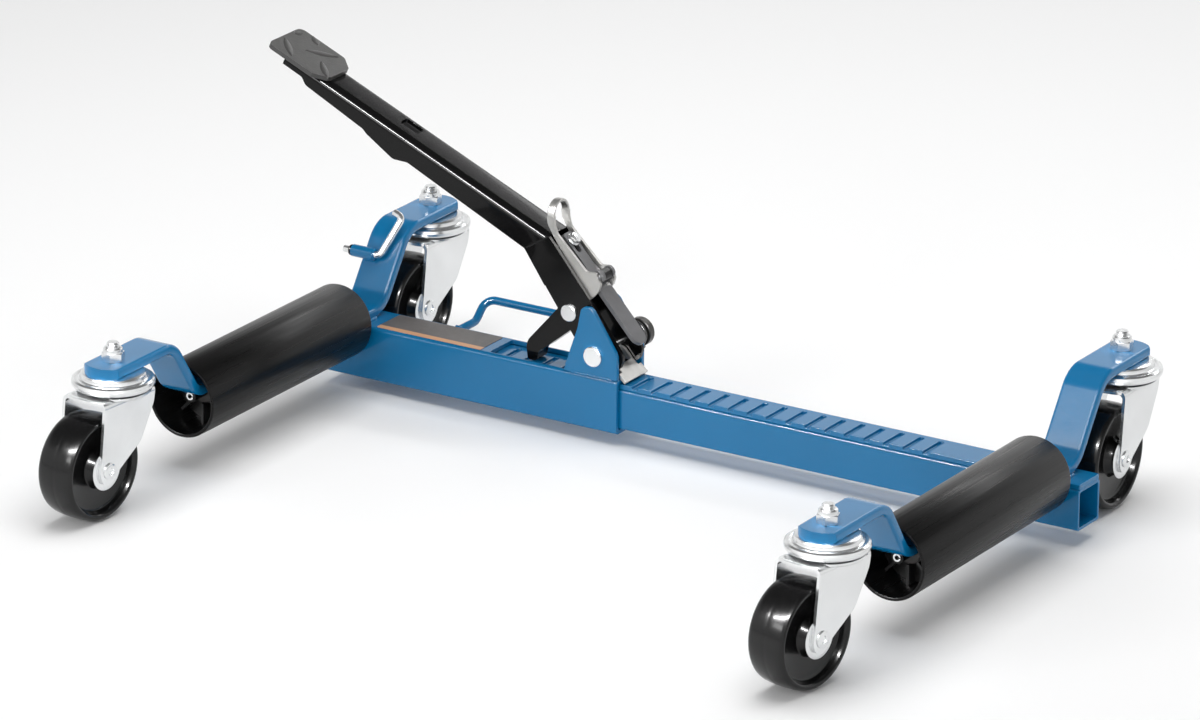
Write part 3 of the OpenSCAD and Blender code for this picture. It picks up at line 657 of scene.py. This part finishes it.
def chamfered_hex(across, z0, z1, origin, axis, turn=0.0, both=True):
    """Hexagon prism with its corners turned down, as on a nut."""
    u, v, n = basis(axis)
    o = Vector(origin)
    steps = 8
    flat = []
    hx = hexagon(across, turn)
    for a, b in zip(hx, hx[1:] + hx[:1]):
        flat += [(a[0] + (b[0] - a[0]) * k / steps, a[1] + (b[1] - a[1]) * k / steps)
                 for k in range(steps)]
    rim = across / 2
    drop = 0.5

    def ring(z, top):
        out = []
        for px, py in flat:
            d = math.hypot(px, py)
            out.append((px, py, z - top * (d - rim) * drop))
        return out

    def inner(z):
        spans = [(px, py, math.hypot(px, py)) for px, py in flat]
        return [(px / d * (rim - 0.3), py / d * (rim - 0.3), z) for px, py, d in spans]

    loops = [inner(z0), ring(z0, -1 if both else 0), ring(z1, 1), inner(z1)]
    return loft([[o + u * p[0] + v * p[1] + n * p[2] for p in loop] for loop in loops])


def thread(r, z0, z1, pitch, origin, axis, sides=32):
    """A threaded end: fine ridges and a chamfered tip."""
    profile = [(0, z0), (r, z0)]
    z = z0 + pitch / 2
    while z < z1 - 1.6:
        profile += [(r - 0.55, z), (r, z + pitch / 2)]
        z += pitch
    profile += [(r - 1.1, z1), (0, z1)]
    return turned(profile, origin, axis, sides)


# Lathe outlines: radius, then height (RACE) or distance from the wheel's middle (HALF_RIM).
# LEG is the yoke's side outline as Y and Z.
RACE = [(6.2, 131.95), (27.6, 131.95), (29.4, 131.5), (30.4, 130.2), (30.7, 128.4), (31.2, 127.0),
        (32.6, 126.4), (34.2, 126.8), (36.4, 126.6), (38.2, 125.4), (39.0, 122.9), (38.6, 120.5),
        (37.4, 118.8), (35.4, 118.2), (33.6, 118.6), (32.4, 120.2), (32.0, 122.4), (28.4, 126.0),
        (6.2, 127.4)]
HALF_RIM = [(5.1, 21), (13.4, 21), (14.8, 20.4), (16.4, 18), (18.0, 13.4), (19.6, 12.0),
            (38.0, 11.8), (40.4, 12.8), (41.8, 15.6), (42.8, 18.4), (44.0, 19.6), (45.6, 20.0),
            (47.0, 19.6), (48.2, 18.2), (49.0, 15.6), (49.6, 10.5), (49.9, 5.0), (WHEEL_R, 0.9),
            (49.9, 0.0)]
RIM = HALF_RIM + [(r, -h) for r, h in HALF_RIM[-2::-1]]
LEG = [(-40.8, 117), (-47.0, 62), (-49.4, 50), (-48.2, 44), (-45, 38.8), (-40, 37.0), (-33, 37.2),
       (-27.4, 41), (-23.4, 47), (8, 67), (27, 100), (30, 117)]


def yoke_shape():
    """A folded U with a tongue in front and a pressed pan on top."""
    folded = round_poly([(-25.6, 20), (25.6, 20), (25.6, 116), (-25.6, 116)], [0, 0, 6.5, 6.5], 6)
    yoke = mesh_object("yoke_shape", slab(folded, (0, 0, 0), X3, Z3, Y3, -52, 34))
    hollow = round_poly([(-22.6, 10), (22.6, 10), (22.6, 112.6), (-22.6, 112.6)], [0, 0, 4, 4], 6)
    combine(yoke, slab(hollow, (0, 0, 0), X3, Z3, Y3, -60, 50))
    outline = round_poly(LEG, [0, 30, 6, 5, 5, 5, 5, 5, 8, 14, 20, 0], 5)
    combine(yoke, plate_yz(outline, -30, 30), "INTERSECT")
    arc = [(22 * math.sin(t), -35.5 - 9 * math.cos(t * 0.667))
           for t in [math.pi / 2 * (k / 10 - 1) for k in range(21)]]
    combine(yoke, plate_xy([(-22, -30)] + arc + [(22, -30)], 112.9, 115.7), "UNION")
    pan = lathe([(6.1, 112.2), (30, 112.2), (33.6, 112.6), (35.2, 114.2), (35.0, 116.0),
                 (33.4, 116.8), (31.4, 116.4), (29.4, 117.8), (28.0, 120.2), (26, 120.9),
                 (22, 120.9), (20.6, 119.6), (19.6, 116.4), (6.1, 116.2)], (0, 0, 0), Z3, 64)
    combine(yoke, pan, "UNION")
    mesh = yoke.data
    bpy.data.objects.remove(yoke)
    return mesh


YOKE = yoke_shape()


def caster(key):
    """One caster, turned about its stem: races, yoke, rivet, thread guards and wheel."""
    x, y = STEM[key]
    place = Matrix.Translation((x, y, 0)) @ Matrix.Rotation(math.radians(YAW[key]), 4, "Z")
    fixed, swivel, spin = SIDE_BODY[key[1]], "caster_" + key, "wheelset_" + key
    hub = (0, -TRAIL, WHEEL_R)
    piece(f"race_{key}_rings", moved(lathe(RACE, (0, 0, 0), Z3, 72), place), ZINC, fixed,
          f"race_{key}", "zinc", angle=25)
    yoke = bpy.data.objects.new(f"yoke_{key}", YOKE.copy())
    bpy.context.collection.objects.link(yoke)
    to_frame = Matrix.Translation(SHIFT) @ Matrix.Scale(MM, 4)
    yoke.data.transform(to_frame @ place @ to_frame.inverted())
    finished(yoke, ZINC, swivel, f"fork_{key}", "zinc", bevel=0.55)
    axle, guards = [turned([(0, -25), (5, -25), (5, 25), (0, 25)], hub, X3, 32)], []
    for s in (1, -1):
        head = [(0, 25.4), (7.4, 25.4), (7.9, 25.9), (7.8, 26.6), (7.0, 27.3), (5.4, 27.7),
                (3.6, 27.6), (3.0, 26.4), (0, 26.0)]
        axle.append(turned([(r, h * s) for r, h in head], hub, X3, 40))
        disc = [(5.2, 21.4), (18.4, 21.4), (19.0, 21.7), (19.0, 22.1), (18.2, 22.5), (12, 22.5),
                (11, 22.2), (5.2, 22.2)]
        guards.append(lathe([(r, h * s) for r, h in disc], hub, X3, 56))
    piece(f"axle_{key}_rivet", moved(join(*axle), place), ZINC, swivel, f"axle_{key}", "zinc",
          angle=28)
    piece(f"guards_{key}_discs", moved(join(*guards), place), ZINC, swivel, f"washers_{key}",
          "zinc", angle=30)
    piece(f"wheel_{key}_tread", moved(lathe(RIM, hub, X3, 96), place), WHEEL_BLACK, spin,
          f"wheel_{key}", "wheel_plastic", angle=38)


for key in YAW:
    caster(key)

for side, x in (("left", 0), ("right", STEM_X)):
    bolts, nuts = [], []
    for y in (0, STEM_Y):
        stem = (x, y, 0)
        head = [(0, 105.6), (10.5, 105.6), (12, 107), (12, 111), (11, 111.4), (0, 111.4)]
        bolts.append(turned(head, stem, Z3, 48))
        bolts.append(turned([(0, 111), (6, 111), (6, 142), (0, 142)], stem, Z3, 32))
        bolts.append(thread(6.0, 141, 160, 1.6, stem, Z3, 32))
        nuts.append(chamfered_hex(19, 142.0, 150.6, stem, Z3, 18 if y == 0 else 8))
        collar = [(6.1, 150), (9.2, 150), (9.2, 152.6), (8.8, 154.2), (7.9, 155.3), (6.6, 155.6),
                  (6.1, 155.2)]
        nuts.append(lathe(collar, stem, Z3, 48))
    piece(f"king_bolts_{side}_set", join(*bolts), ZINC, SIDE_BODY[side[0]], f"{side}_king_bolts",
          "zinc", angle=30)
    piece(f"lock_nuts_{side}_set", join(*nuts), ZINC, SIDE_BODY[side[0]], f"{side}_nuts", "zinc",
          angle=24)


# ---------------------------------------------------------------- storage pin

# The pin's sleeve is welded to the slope of the rear left bar.
slope_u = Vector((0, 1, BACK_SLOPE)).normalized()
slope_n = Vector((0, -slope_u.z, slope_u.y))
HOLD = Vector((0, BACK_Y, BAR_Z)) + slope_n * 11.155 - slope_u * 33.469
sleeve = lathe([(3.6, -28), (5.4, -28), (6, -27.4), (6, -3.6), (5.4, -3), (3.6, -3)], HOLD, X3, 40)
foot = slab(rect(14, 6, 0.8, 2, -11, 0), HOLD, X3, slope_u, slope_n, -6.1, -3.6)
piece("pin_sleeve", join(sleeve, foot), BLUE, "frame", "pin_holder", "blue_paint", angle=35)
for k, s in enumerate((-1, 1)):
    c = HOLD + slope_n * -5.6 + slope_u * 4.0 * s
    bead(f"weld_sleeve_{k}", [c + X3 * -19, c + X3 * -4.5], 1.9, "frame")
ring = lathe([(3.55, -30.4), (5.0, -30.4), (5.3, -29.9), (5.3, -28.6), (5.0, -28.1),
              (3.55, -28.1)], HOLD, X3, 36)
piece("pin_seal_ring", ring, WHEEL_BLACK, "frame", (), "black_paint", angle=35)
pin_path = [HOLD + X3 * -38, HOLD + X3 * 3, HOLD + X3 * 14 + slope_u * 41,
            HOLD + Vector((2.5, 2, 1.5)) + slope_u * 42.6]
piece("pin_wire", pipe(rounded_path(pin_path, 5.5, 8), 3.4, 40, 0.9), ZINC, "pin", "storage_pin",
      "zinc", angle=60)


# ---------------------------------------------------------------- pedal arm

SLOPE = math.radians(23.3)
ARM_O = Vector((-73.5, 322.0))
ARM_U = Vector((math.cos(SLOPE), -math.sin(SLOPE)))
ARM_D = Vector((-math.sin(SLOPE), -math.cos(SLOPE)))
ARM_BOTTOM = [(200, 175.5), (68, 236.5), (51.5, 237), (22, 256.5), (17.5, 261), (-47.8, 293),
              (-51.6, 300.3), (-73.5, 310)]

# The lock strap lies along the knee: ST runs down it, SM points away from it.
STRAP_A = math.radians(47.5)
ST = Vector((math.cos(STRAP_A), 0, -math.sin(STRAP_A)))
SM = Vector((math.sin(STRAP_A), 0, math.cos(STRAP_A)))
BOLT = Vector((234.8, BEAM_YC, 180.0))


def arm_sd(p):
    """Distance along the arm's top and depth below it."""
    v = Vector(p) - ARM_O
    return v.dot(ARM_U), v.dot(ARM_D)


def arm():
    """Pressed channel, open below, with large bends along its top edges and a stepped flange."""
    bottom = round_poly([arm_sd(p) for p in ARM_BOTTOM[::-1]], [0, 6, 8, 8, 10, 10, 12, 0], 5,
                        closed=False)
    knee = arm_sd((227, 192.6))[0]
    end_s = bottom[-1][0]
    loops = []
    half_w, wall, r_out, r_in = 19.0, 4.0, 8.0, 4.5
    for s_low, depth in bottom:
        # the far end follows the mitre at the knee, so the top reaches further than the flange
        f = max(0.0, min(1.0, (s_low - 240) / (end_s - 240)))
        s_top = s_low + (knee - end_s) * f
        outer = [(-half_w, depth), (-half_w, r_out)]
        outer += [(-half_w + r_out - r_out * math.cos(t), r_out - r_out * math.sin(t))
                  for t in [math.pi / 2 * k / 6 for k in range(1, 7)]]
        outer += [(-y, d) for y, d in outer[::-1]]
        iw = half_w - wall
        inner = [(iw, depth), (iw, wall + r_in)]
        inner += [(iw - r_in + r_in * math.cos(t), wall + r_in - r_in * math.sin(t))
                  for t in [math.pi / 2 * k / 6 for k in range(1, 7)]]
        inner += [(-y, d) for y, d in inner[::-1]]
        loop = []
        for y, d in outer + inner:
            s = s_top + (s_low - s_top) * (d / depth)
            q = ARM_O + ARM_U * s + ARM_D * d
            loop.append(Vector((q[0], BEAM_YC + y, q[1])))
        loops.append(loop)
    return loft(loops)


pedal_arm = mesh_object("arm_channel", arm())
slot_c = Vector((59, BEAM_YC + 4, 265))
su, sn = Vector((ARM_U[0], 0, ARM_U[1])), Vector((-ARM_D[0], 0, -ARM_D[1]))
combine(pedal_arm, slab(rect(21, 13, 3, 4), slot_c, su, Y3, sn, -8, 10))
finished(pedal_arm, BLACK_PAINT, "pedal", "pedal_arm", "black_paint", bevel=0.5, segments=2,
         angle=40)

CHANNEL = [(200, 175.5), (227, 192.6), (273, 137.5), (311, 87), (307, 75), (287, 69), (273, 70),
           (264, 76), (260.5, 91.5)]
KNEE_Y0, KNEE_Y1, KNEE_T = 388.0, 426.0, 4.0


def channel():
    """Two side plates with a web behind them and a bridge under the guide bolt."""
    shape = round_poly(CHANNEL, [0, 3, 20, 8, 6, 5, 5, 6, 10], 5)
    body = mesh_object("knee_channel", plate_xz(shape, KNEE_Y0, KNEE_Y0 + KNEE_T))
    combine(body, plate_xz(shape, KNEE_Y1 - KNEE_T, KNEE_Y1), "UNION")
    web = [(200, 175.5), (204.2, 178.4), (227.2, 146.2), (222.7, 142.7)]
    combine(body, plate_xz(web, KNEE_Y0, KNEE_Y1), "UNION")
    bridge = [(-4.8, -5), (4.8, -5), (4.8, -13), (-4.8, -13)]
    combine(body, slab(bridge, BOLT, ST, SM, Y3, -16, 16), "UNION")
    return body


finished(channel(), BLACK_PAINT, "pedal", "pedal_channel", "black_paint", bevel=1.0, angle=35)
for k, y in enumerate((KNEE_Y0, KNEE_Y1)):
    bead(f"weld_knee_{k}", [(202, y, 176.8), (226.5, y, 192.2)], 1.3, "pedal", BLACK_PAINT,
         "black_paint")


# ---------------------------------------------------------------- foot pad

PAD_LENGTH, PAD_HALF = 69.0, 28.0
# Raised leaves on the pad: centre along and across, turn in degrees, half length.
PAD_LEAVES = [(15, -13.6, -40.5, 16), (39, 10.8, 44, 17.4), (57.5, -10.4, -41, 14.5),
              (4.6, 17.2, 58, 5.5), (22, 23.4, -30, 7.5)]


def pad():
    """A tread plate in line with the arm, with raised leaves."""
    o = Vector((-86, BEAM_YC, 327.4))
    corner = PAD_LENGTH - 14
    outline = round_poly([(0, -PAD_HALF), (corner, -PAD_HALF), (PAD_LENGTH, -PAD_HALF + 12),
                          (PAD_LENGTH, PAD_HALF - 12), (corner, PAD_HALF), (0, PAD_HALF)],
                         [7, 6, 6, 6, 6, 7], 5)
    parts = [slab(outline, o, su, Y3, sn, 0.2, 4.6)]
    for cx, cy, turn, size in PAD_LEAVES:
        leaf = [(size * math.cos(t), 3.0 * math.sin(t) * (1 - 0.35 * math.cos(2 * t)))
                for t in [2 * math.pi * k / 28 for k in range(28)]]
        c, s = math.cos(math.radians(turn)), math.sin(math.radians(turn))
        low = [(cx + a * c - b * s, cy + a * s + b * c) for a, b in leaf]
        top = [(cx + (a * c * 0.9 - b * s * 0.4), cy + (a * s * 0.9 + b * c * 0.4))
               for a, b in leaf]
        loops = [[o + su * p[0] + Y3 * p[1] + sn * h for p in pts]
                 for pts, h in ((low, 4.0), (low, 4.6), (top, 5.5))]
        parts.append(loft(loops))
    return join(*parts)


piece("tread_pad", pad(), PAD_GREY, "pedal", "foot_pad", "grey_steel", bevel=0.7, angle=35)


# ---------------------------------------------------------------- pins and bolts

def flat_head(c, y_face, r, thick):
    """Round pin head facing the front."""
    profile = [(0, -thick), (r - 1.0, -thick), (r - 0.2, -thick + 0.7), (r, -thick + 1.4), (r, 0),
               (0, 0)]
    return turned(profile, (c[0], y_face, c[1]), Y3, 56)


HEAD_T = 2.9
pivot_parts = [flat_head(PIVOT, BEAM_Y0, 10, HEAD_T),
               turned([(0, 0), (6, 0), (6, 91.5), (5, 93), (0, 93)],
                      (PIVOT[0], BEAM_Y0 - 1, PIVOT[1]), Y3, 40)]
piece("pivot_bolt", join(*pivot_parts), ZINC, "frame", "pivot_pin", "zinc", angle=28)
pawl_parts = [flat_head(PAWL_PIN, KNEE_Y0, 8.5, HEAD_T),
              turned([(0, 0), (5, 0), (5, 41), (4.2, 42), (0, 42)],
                     (PAWL_PIN[0], KNEE_Y0 - 1, PAWL_PIN[1]), Y3, 36)]
piece("pawl_bolt", join(*pawl_parts), ZINC, "pedal", "pawl_pin_bolt", "zinc", angle=28)
keeper = lathe([(6.05, 461.5), (13.2, 461.5), (14, 462.3), (14, 469.2), (13.2, 470), (6.05, 470)],
               (PIVOT[0], 0, PIVOT[1]), Y3, 48)
piece("pivot_keeper", keeper, DARK_STEEL, "frame", "pivot_collar", "grey_steel", angle=35)

COIL_TURNS, COIL_STEPS, COIL_R, COIL_PITCH, WIRE_R = 5, 32, 12, 5.0, 1.8
coil = []
for k in range(COIL_TURNS * COIL_STEPS + 1):
    t = 2 * math.pi * k / COIL_STEPS - math.pi / 2
    coil.append(Vector((PIVOT[0] + COIL_R * math.cos(t), 434.4 + COIL_PITCH * k / COIL_STEPS,
                        PIVOT[1] + COIL_R * math.sin(t))))
coil = [coil[0] + Vector((-15, -0.3, 0.3))] + coil + [coil[-1] + Vector((9, 0.6, 0.4))]
piece("torsion_coil", pipe(coil, WIRE_R, 20, 0.4), SPRING_BLACK, "frame", "return_spring",
      "black_paint", angle=60)

washer = [(3.1, 9.6), (6.3, 9.6), (6.5, 9.9), (6.5, 10.7), (6.2, 11.0), (3.1, 11.0)]
bolt_parts = [turned([(0, -14), (3, -14), (3, 10), (0, 10)], BOLT, SM, 24),
              lathe(washer, BOLT, SM, 40),
              chamfered_hex(10, 11.0, 15.4, BOLT, SM, 10, both=False)]
piece("guide_screw", join(*bolt_parts), ZINC, "pedal", "guide_bolt", "zinc", angle=28)


# ---------------------------------------------------------------- pawls

PAWL = [(PAWL_PIN[0] - 13, 126), (PAWL_PIN[0] - 20, 118), (198, 81), (196.4, 74), (198, 61.5),
        (208, 61.5), (210, 72), (217.5, 77), (245, 99), (PAWL_PIN[0] + 6, 110)]
PAWL_HALF, BOSS_R = 9, 13
pawl_shape = round_poly(PAWL, [6, 12, 14, 6, 3.5, 3.5, 6, 14, 12, 0], 5)
pawl = mesh_object("drive_pawl_bar", plate_xz(pawl_shape, BEAM_YC - PAWL_HALF, BEAM_YC + PAWL_HALF))
boss = [(PAWL_PIN[0] + BOSS_R * math.cos(t), PAWL_PIN[1] + BOSS_R * math.sin(t))
        for t in [2 * math.pi * k / 48 for k in range(48)]]
combine(pawl, plate_xz(boss, BEAM_YC - PAWL_HALF, BEAM_YC + PAWL_HALF), "UNION")
finished(pawl, BLACK_PAINT, "drive", "drive_pawl", "black_paint", bevel=1.8, segments=4, angle=35)

CHEEK_Y, CHEEK_T = 393, 2.5
cheek = round_poly([(272, 81), (290.5, 88), (302, 74.7), (298.5, 74), (285, 76)],
                   [8, 8, 1, 1, 6], 4)
hold = mesh_object("hold_plate", plate_xz(cheek, CHEEK_Y, CHEEK_Y + CHEEK_T))
mirrored = 2 * BEAM_YC - CHEEK_Y
combine(hold, plate_xz(cheek, mirrored - CHEEK_T, mirrored), "UNION")
# A lip that slopes down from the cheeks and widens to about the channel's width.
LIP_A = math.radians(41)
lip_u = Vector((math.cos(LIP_A), 0, -math.sin(LIP_A)))
lip_n = Vector((math.sin(LIP_A), 0, math.cos(LIP_A)))
lip_plan = round_poly([(2, 392.8), (9.9, 392.8), (9.9, 387.6), (20.5, 387.6), (20.5, 426.4),
                       (9.9, 426.4), (9.9, 421.2), (2, 421.2)],
                      [0, 0.6, 0.8, 0.8, 0.8, 0.8, 0.6, 0], 4)
combine(hold, slab(lip_plan, (297, 0, 75), lip_u, Y3, lip_n, 0.05, 2.95), "UNION")
finished(hold, BRUSHED, "holding", "holding_pawl", "zinc", bevel=0.45, angle=38)


# ---------------------------------------------------------------- strap and bail

STRAP_END, END_R = 108, 10
end_arc = [(STRAP_END + END_R * math.sin(t), -END_R * math.cos(t))
           for t in [math.pi * k / 16 for k in range(17)]]
strap_plan = [(-9, 4.5), (-9, -4.5), (-6.5, -7), (29, -7), (36, -9.4), (39, -END_R)] + end_arc
strap_plan += [(39, END_R), (36, 9.4), (29, 7), (-6.5, 7)]
strap = mesh_object("strap_bar", slab(strap_plan, BOLT, ST, Y3, SM, 5.3, 9.3))
for y in (-END_R, END_R - 3):
    lug = round_poly([(38, 8), (50, 8), (50, 23), (38, 23)], [0, 0, 5.5, 5.5], 6)
    combine(strap, slab(lug, BOLT, ST, SM, Y3, y, y + 3), "UNION")
combine(strap, slab(rect(17, 7, 3.4, 5, 5, 0), BOLT, ST, Y3, SM, 4, 11))
finished(strap, STRAP_GREY, "lock", "lock_strap", "grey_steel", bevel=0.8, angle=38)

CROSS = BOLT + ST * 44 + SM * 15.8
piece("cross_pin", turned([(0, -14.1), (3, -14.1), (3, 14.1), (0, 14.1)], CROSS, Y3, 28), ZINC,
      "lock", (), "zinc", angle=30)
sleeve = [(3.1, -6.9), (5.4, -6.9), (6, -6.3), (6, 6.3), (5.4, 6.9), (3.1, 6.9)]
piece("cross_sleeve", lathe(sleeve, CROSS, Y3, 40), BLACK_PAINT, "lock", "cross_roller",
      "grey_steel", angle=30)

BAIL_C = Vector((226, BEAM_YC, 210.5))
BAIL_SIDE = [(222, 210.5), (230, 210.7), (230.4, 203), (232.9, 195), (266, 162.8), (276.8, 163.8),
             (281.8, 152.8), (279.6, 145.6), (272, 137.2), (269.0, 137.45), (229.9, 191.05),
             (222.8, 203)]
bail_side = round_poly(BAIL_SIDE, [0, 0, 8, 8, 5, 2.5, 3, 3, 1.5, 1.5, 10, 8], 5)
bail = mesh_object("bail_strip", plate_xz(bail_side, 392.8, 395.8))
combine(bail, plate_xz(bail_side, 418.2, 421.2), "UNION")
# The strip goes over the top in a half circle that leans 3 degrees towards the foot pad.
along = Vector((-0.052, 0, 0.9986))
across = Vector((0.9986, 0, 0.052))
loops = []
for k in range(-1, 26):
    t = math.pi * min(max(k, 0), 24) / 24
    radial = Y3 * -math.cos(t) + along * math.sin(t)
    base = BAIL_C - along * (1.5 if k in (-1, 25) else 0)
    loops.append([base + radial * (12.7 + q[0]) + across * q[1] for q in rect(3.0, 7.8, 1.2, 3)])
combine(bail, loft(loops), "UNION")
finished(bail, BRUSHED, "bail", "release_bail", "zinc", bevel=0.5, segments=2, angle=40)


# ---------------------------------------------------------------- CAD nodes that stay

KEPT = {"axle": BLACK_PAINT, "spring_pin": ZINC, "axle_washers": DARK_STEEL}
for part, material in KEPT.items():
    for side in ("left", "right"):
        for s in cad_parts[f"{side}_{part}"].material_slots:
            s.material = material


# ---------------------------------------------------------------- floor, light, camera

def floor_material():
    """Plain pale matt floor."""
    mat = bpy.data.materials.new("studio_floor")
    mat.use_nodes = True
    bsdf = mat.node_tree.nodes["Principled BSDF"]
    bsdf.inputs["Base Color"].default_value = (0.93, 0.93, 0.93, 1)
    bsdf.inputs["Roughness"].default_value = 0.7
    bsdf.inputs["Specular IOR Level"].default_value = 0.2
    return mat


bpy.ops.mesh.primitive_plane_add(size=40, location=(0, 0, -0.0004))
floor = bpy.context.active_object
floor.name = "studio_floor"
floor.data.materials.append(floor_material())


def studio_world():
    """Bright all round at eye height and darker overhead, as in a room with white walls."""
    world = bpy.data.worlds.new("studio")
    bpy.context.scene.world = world
    world.use_nodes = True
    n, link = world.node_tree.nodes, world.node_tree.links.new
    coords = n.new("ShaderNodeTexCoord")
    split = n.new("ShaderNodeSeparateXYZ")
    ramp = n.new("ShaderNodeValToRGB")
    ramp.color_ramp.interpolation = "EASE"
    ramp.color_ramp.elements[0].position, ramp.color_ramp.elements[1].position = 0.36, 0.60
    ramp.color_ramp.elements[0].color = (1, 1, 1, 1)
    ramp.color_ramp.elements[1].color = (0.12, 0.12, 0.12, 1)
    link(coords.outputs["Generated"], split.inputs["Vector"])
    link(split.outputs["Z"], ramp.inputs["Fac"])
    link(ramp.outputs["Color"], n["Background"].inputs["Color"])
    n["Background"].inputs["Strength"].default_value = 1.0


studio_world()


def softbox(name, place, aim, size, power, seen=True, lights=True):
    """A rectangular lamp; seen is for reflections, lights for diffuse surfaces."""
    data = bpy.data.lights.new(name, "AREA")
    data.shape, data.size, data.size_y, data.energy = "RECTANGLE", size[0], size[1], power
    lamp = bpy.data.objects.new(name, data)
    bpy.context.collection.objects.link(lamp)
    lamp.location = place
    lamp.rotation_mode = "QUATERNION"
    lamp.rotation_quaternion = (Vector(aim) - Vector(place)).to_track_quat("-Z", "Y")
    lamp.visible_glossy, lamp.visible_diffuse = seen, lights
    return lamp


softbox("overhead", (0.0, 0.2, 2.6), (0, 0, 0), (2.6, 2.2), 58, seen=False)
softbox("key_front", (-1.0, -3.0, 1.35), (0, 0, 0.1), (1.5, 0.5), 26)
softbox("edge_strip", (0.2, -2.3, 2.1), (0.1, 0, 0.1), (4.2, 0.2), 560, lights=False)
softbox("back_strip", (0.1, 3.2, 2.2), (0, 0, 0.1), (2.6, 0.35), 16)
bpy.context.scene.view_settings.view_transform = "Standard"

# The camera: its direction in degrees, its place from the first stem in mm, and its lens in mm.
AZ, EL, ROLL = (math.radians(v) for v in (31.9055, 19.9235, 0.3839))
OFF_RIGHT, OFF_UP, OFF_BACK = 447.748, 133.6325, 7757.263
LENS, SENSOR = 251.962, 36
back = Vector((math.sin(AZ) * math.cos(EL), -math.cos(AZ) * math.cos(EL), math.sin(EL)))
right = Vector((math.cos(AZ), math.sin(AZ), 0))
upward = back.cross(right)
cam_x = right * math.cos(ROLL) + upward * math.sin(ROLL)
cam_y = upward * math.cos(ROLL) - right * math.sin(ROLL)
spot = (cam_x * OFF_RIGHT + cam_y * OFF_UP + back * OFF_BACK) * MM + SHIFT
cam_data = bpy.data.cameras.new("studio_camera")
cam = bpy.data.objects.new("studio_camera", cam_data)
bpy.context.collection.objects.link(cam)
cam_data.sensor_width = SENSOR
cam_data.lens = LENS
cam_data.clip_end = 100
cam.matrix_world = Matrix(((cam_x.x, cam_y.x, back.x, spot.x), (cam_x.y, cam_y.y, back.y, spot.y),
                           (cam_x.z, cam_y.z, back.z, spot.z), (0, 0, 0, 1)))
bpy.context.scene.camera = cam
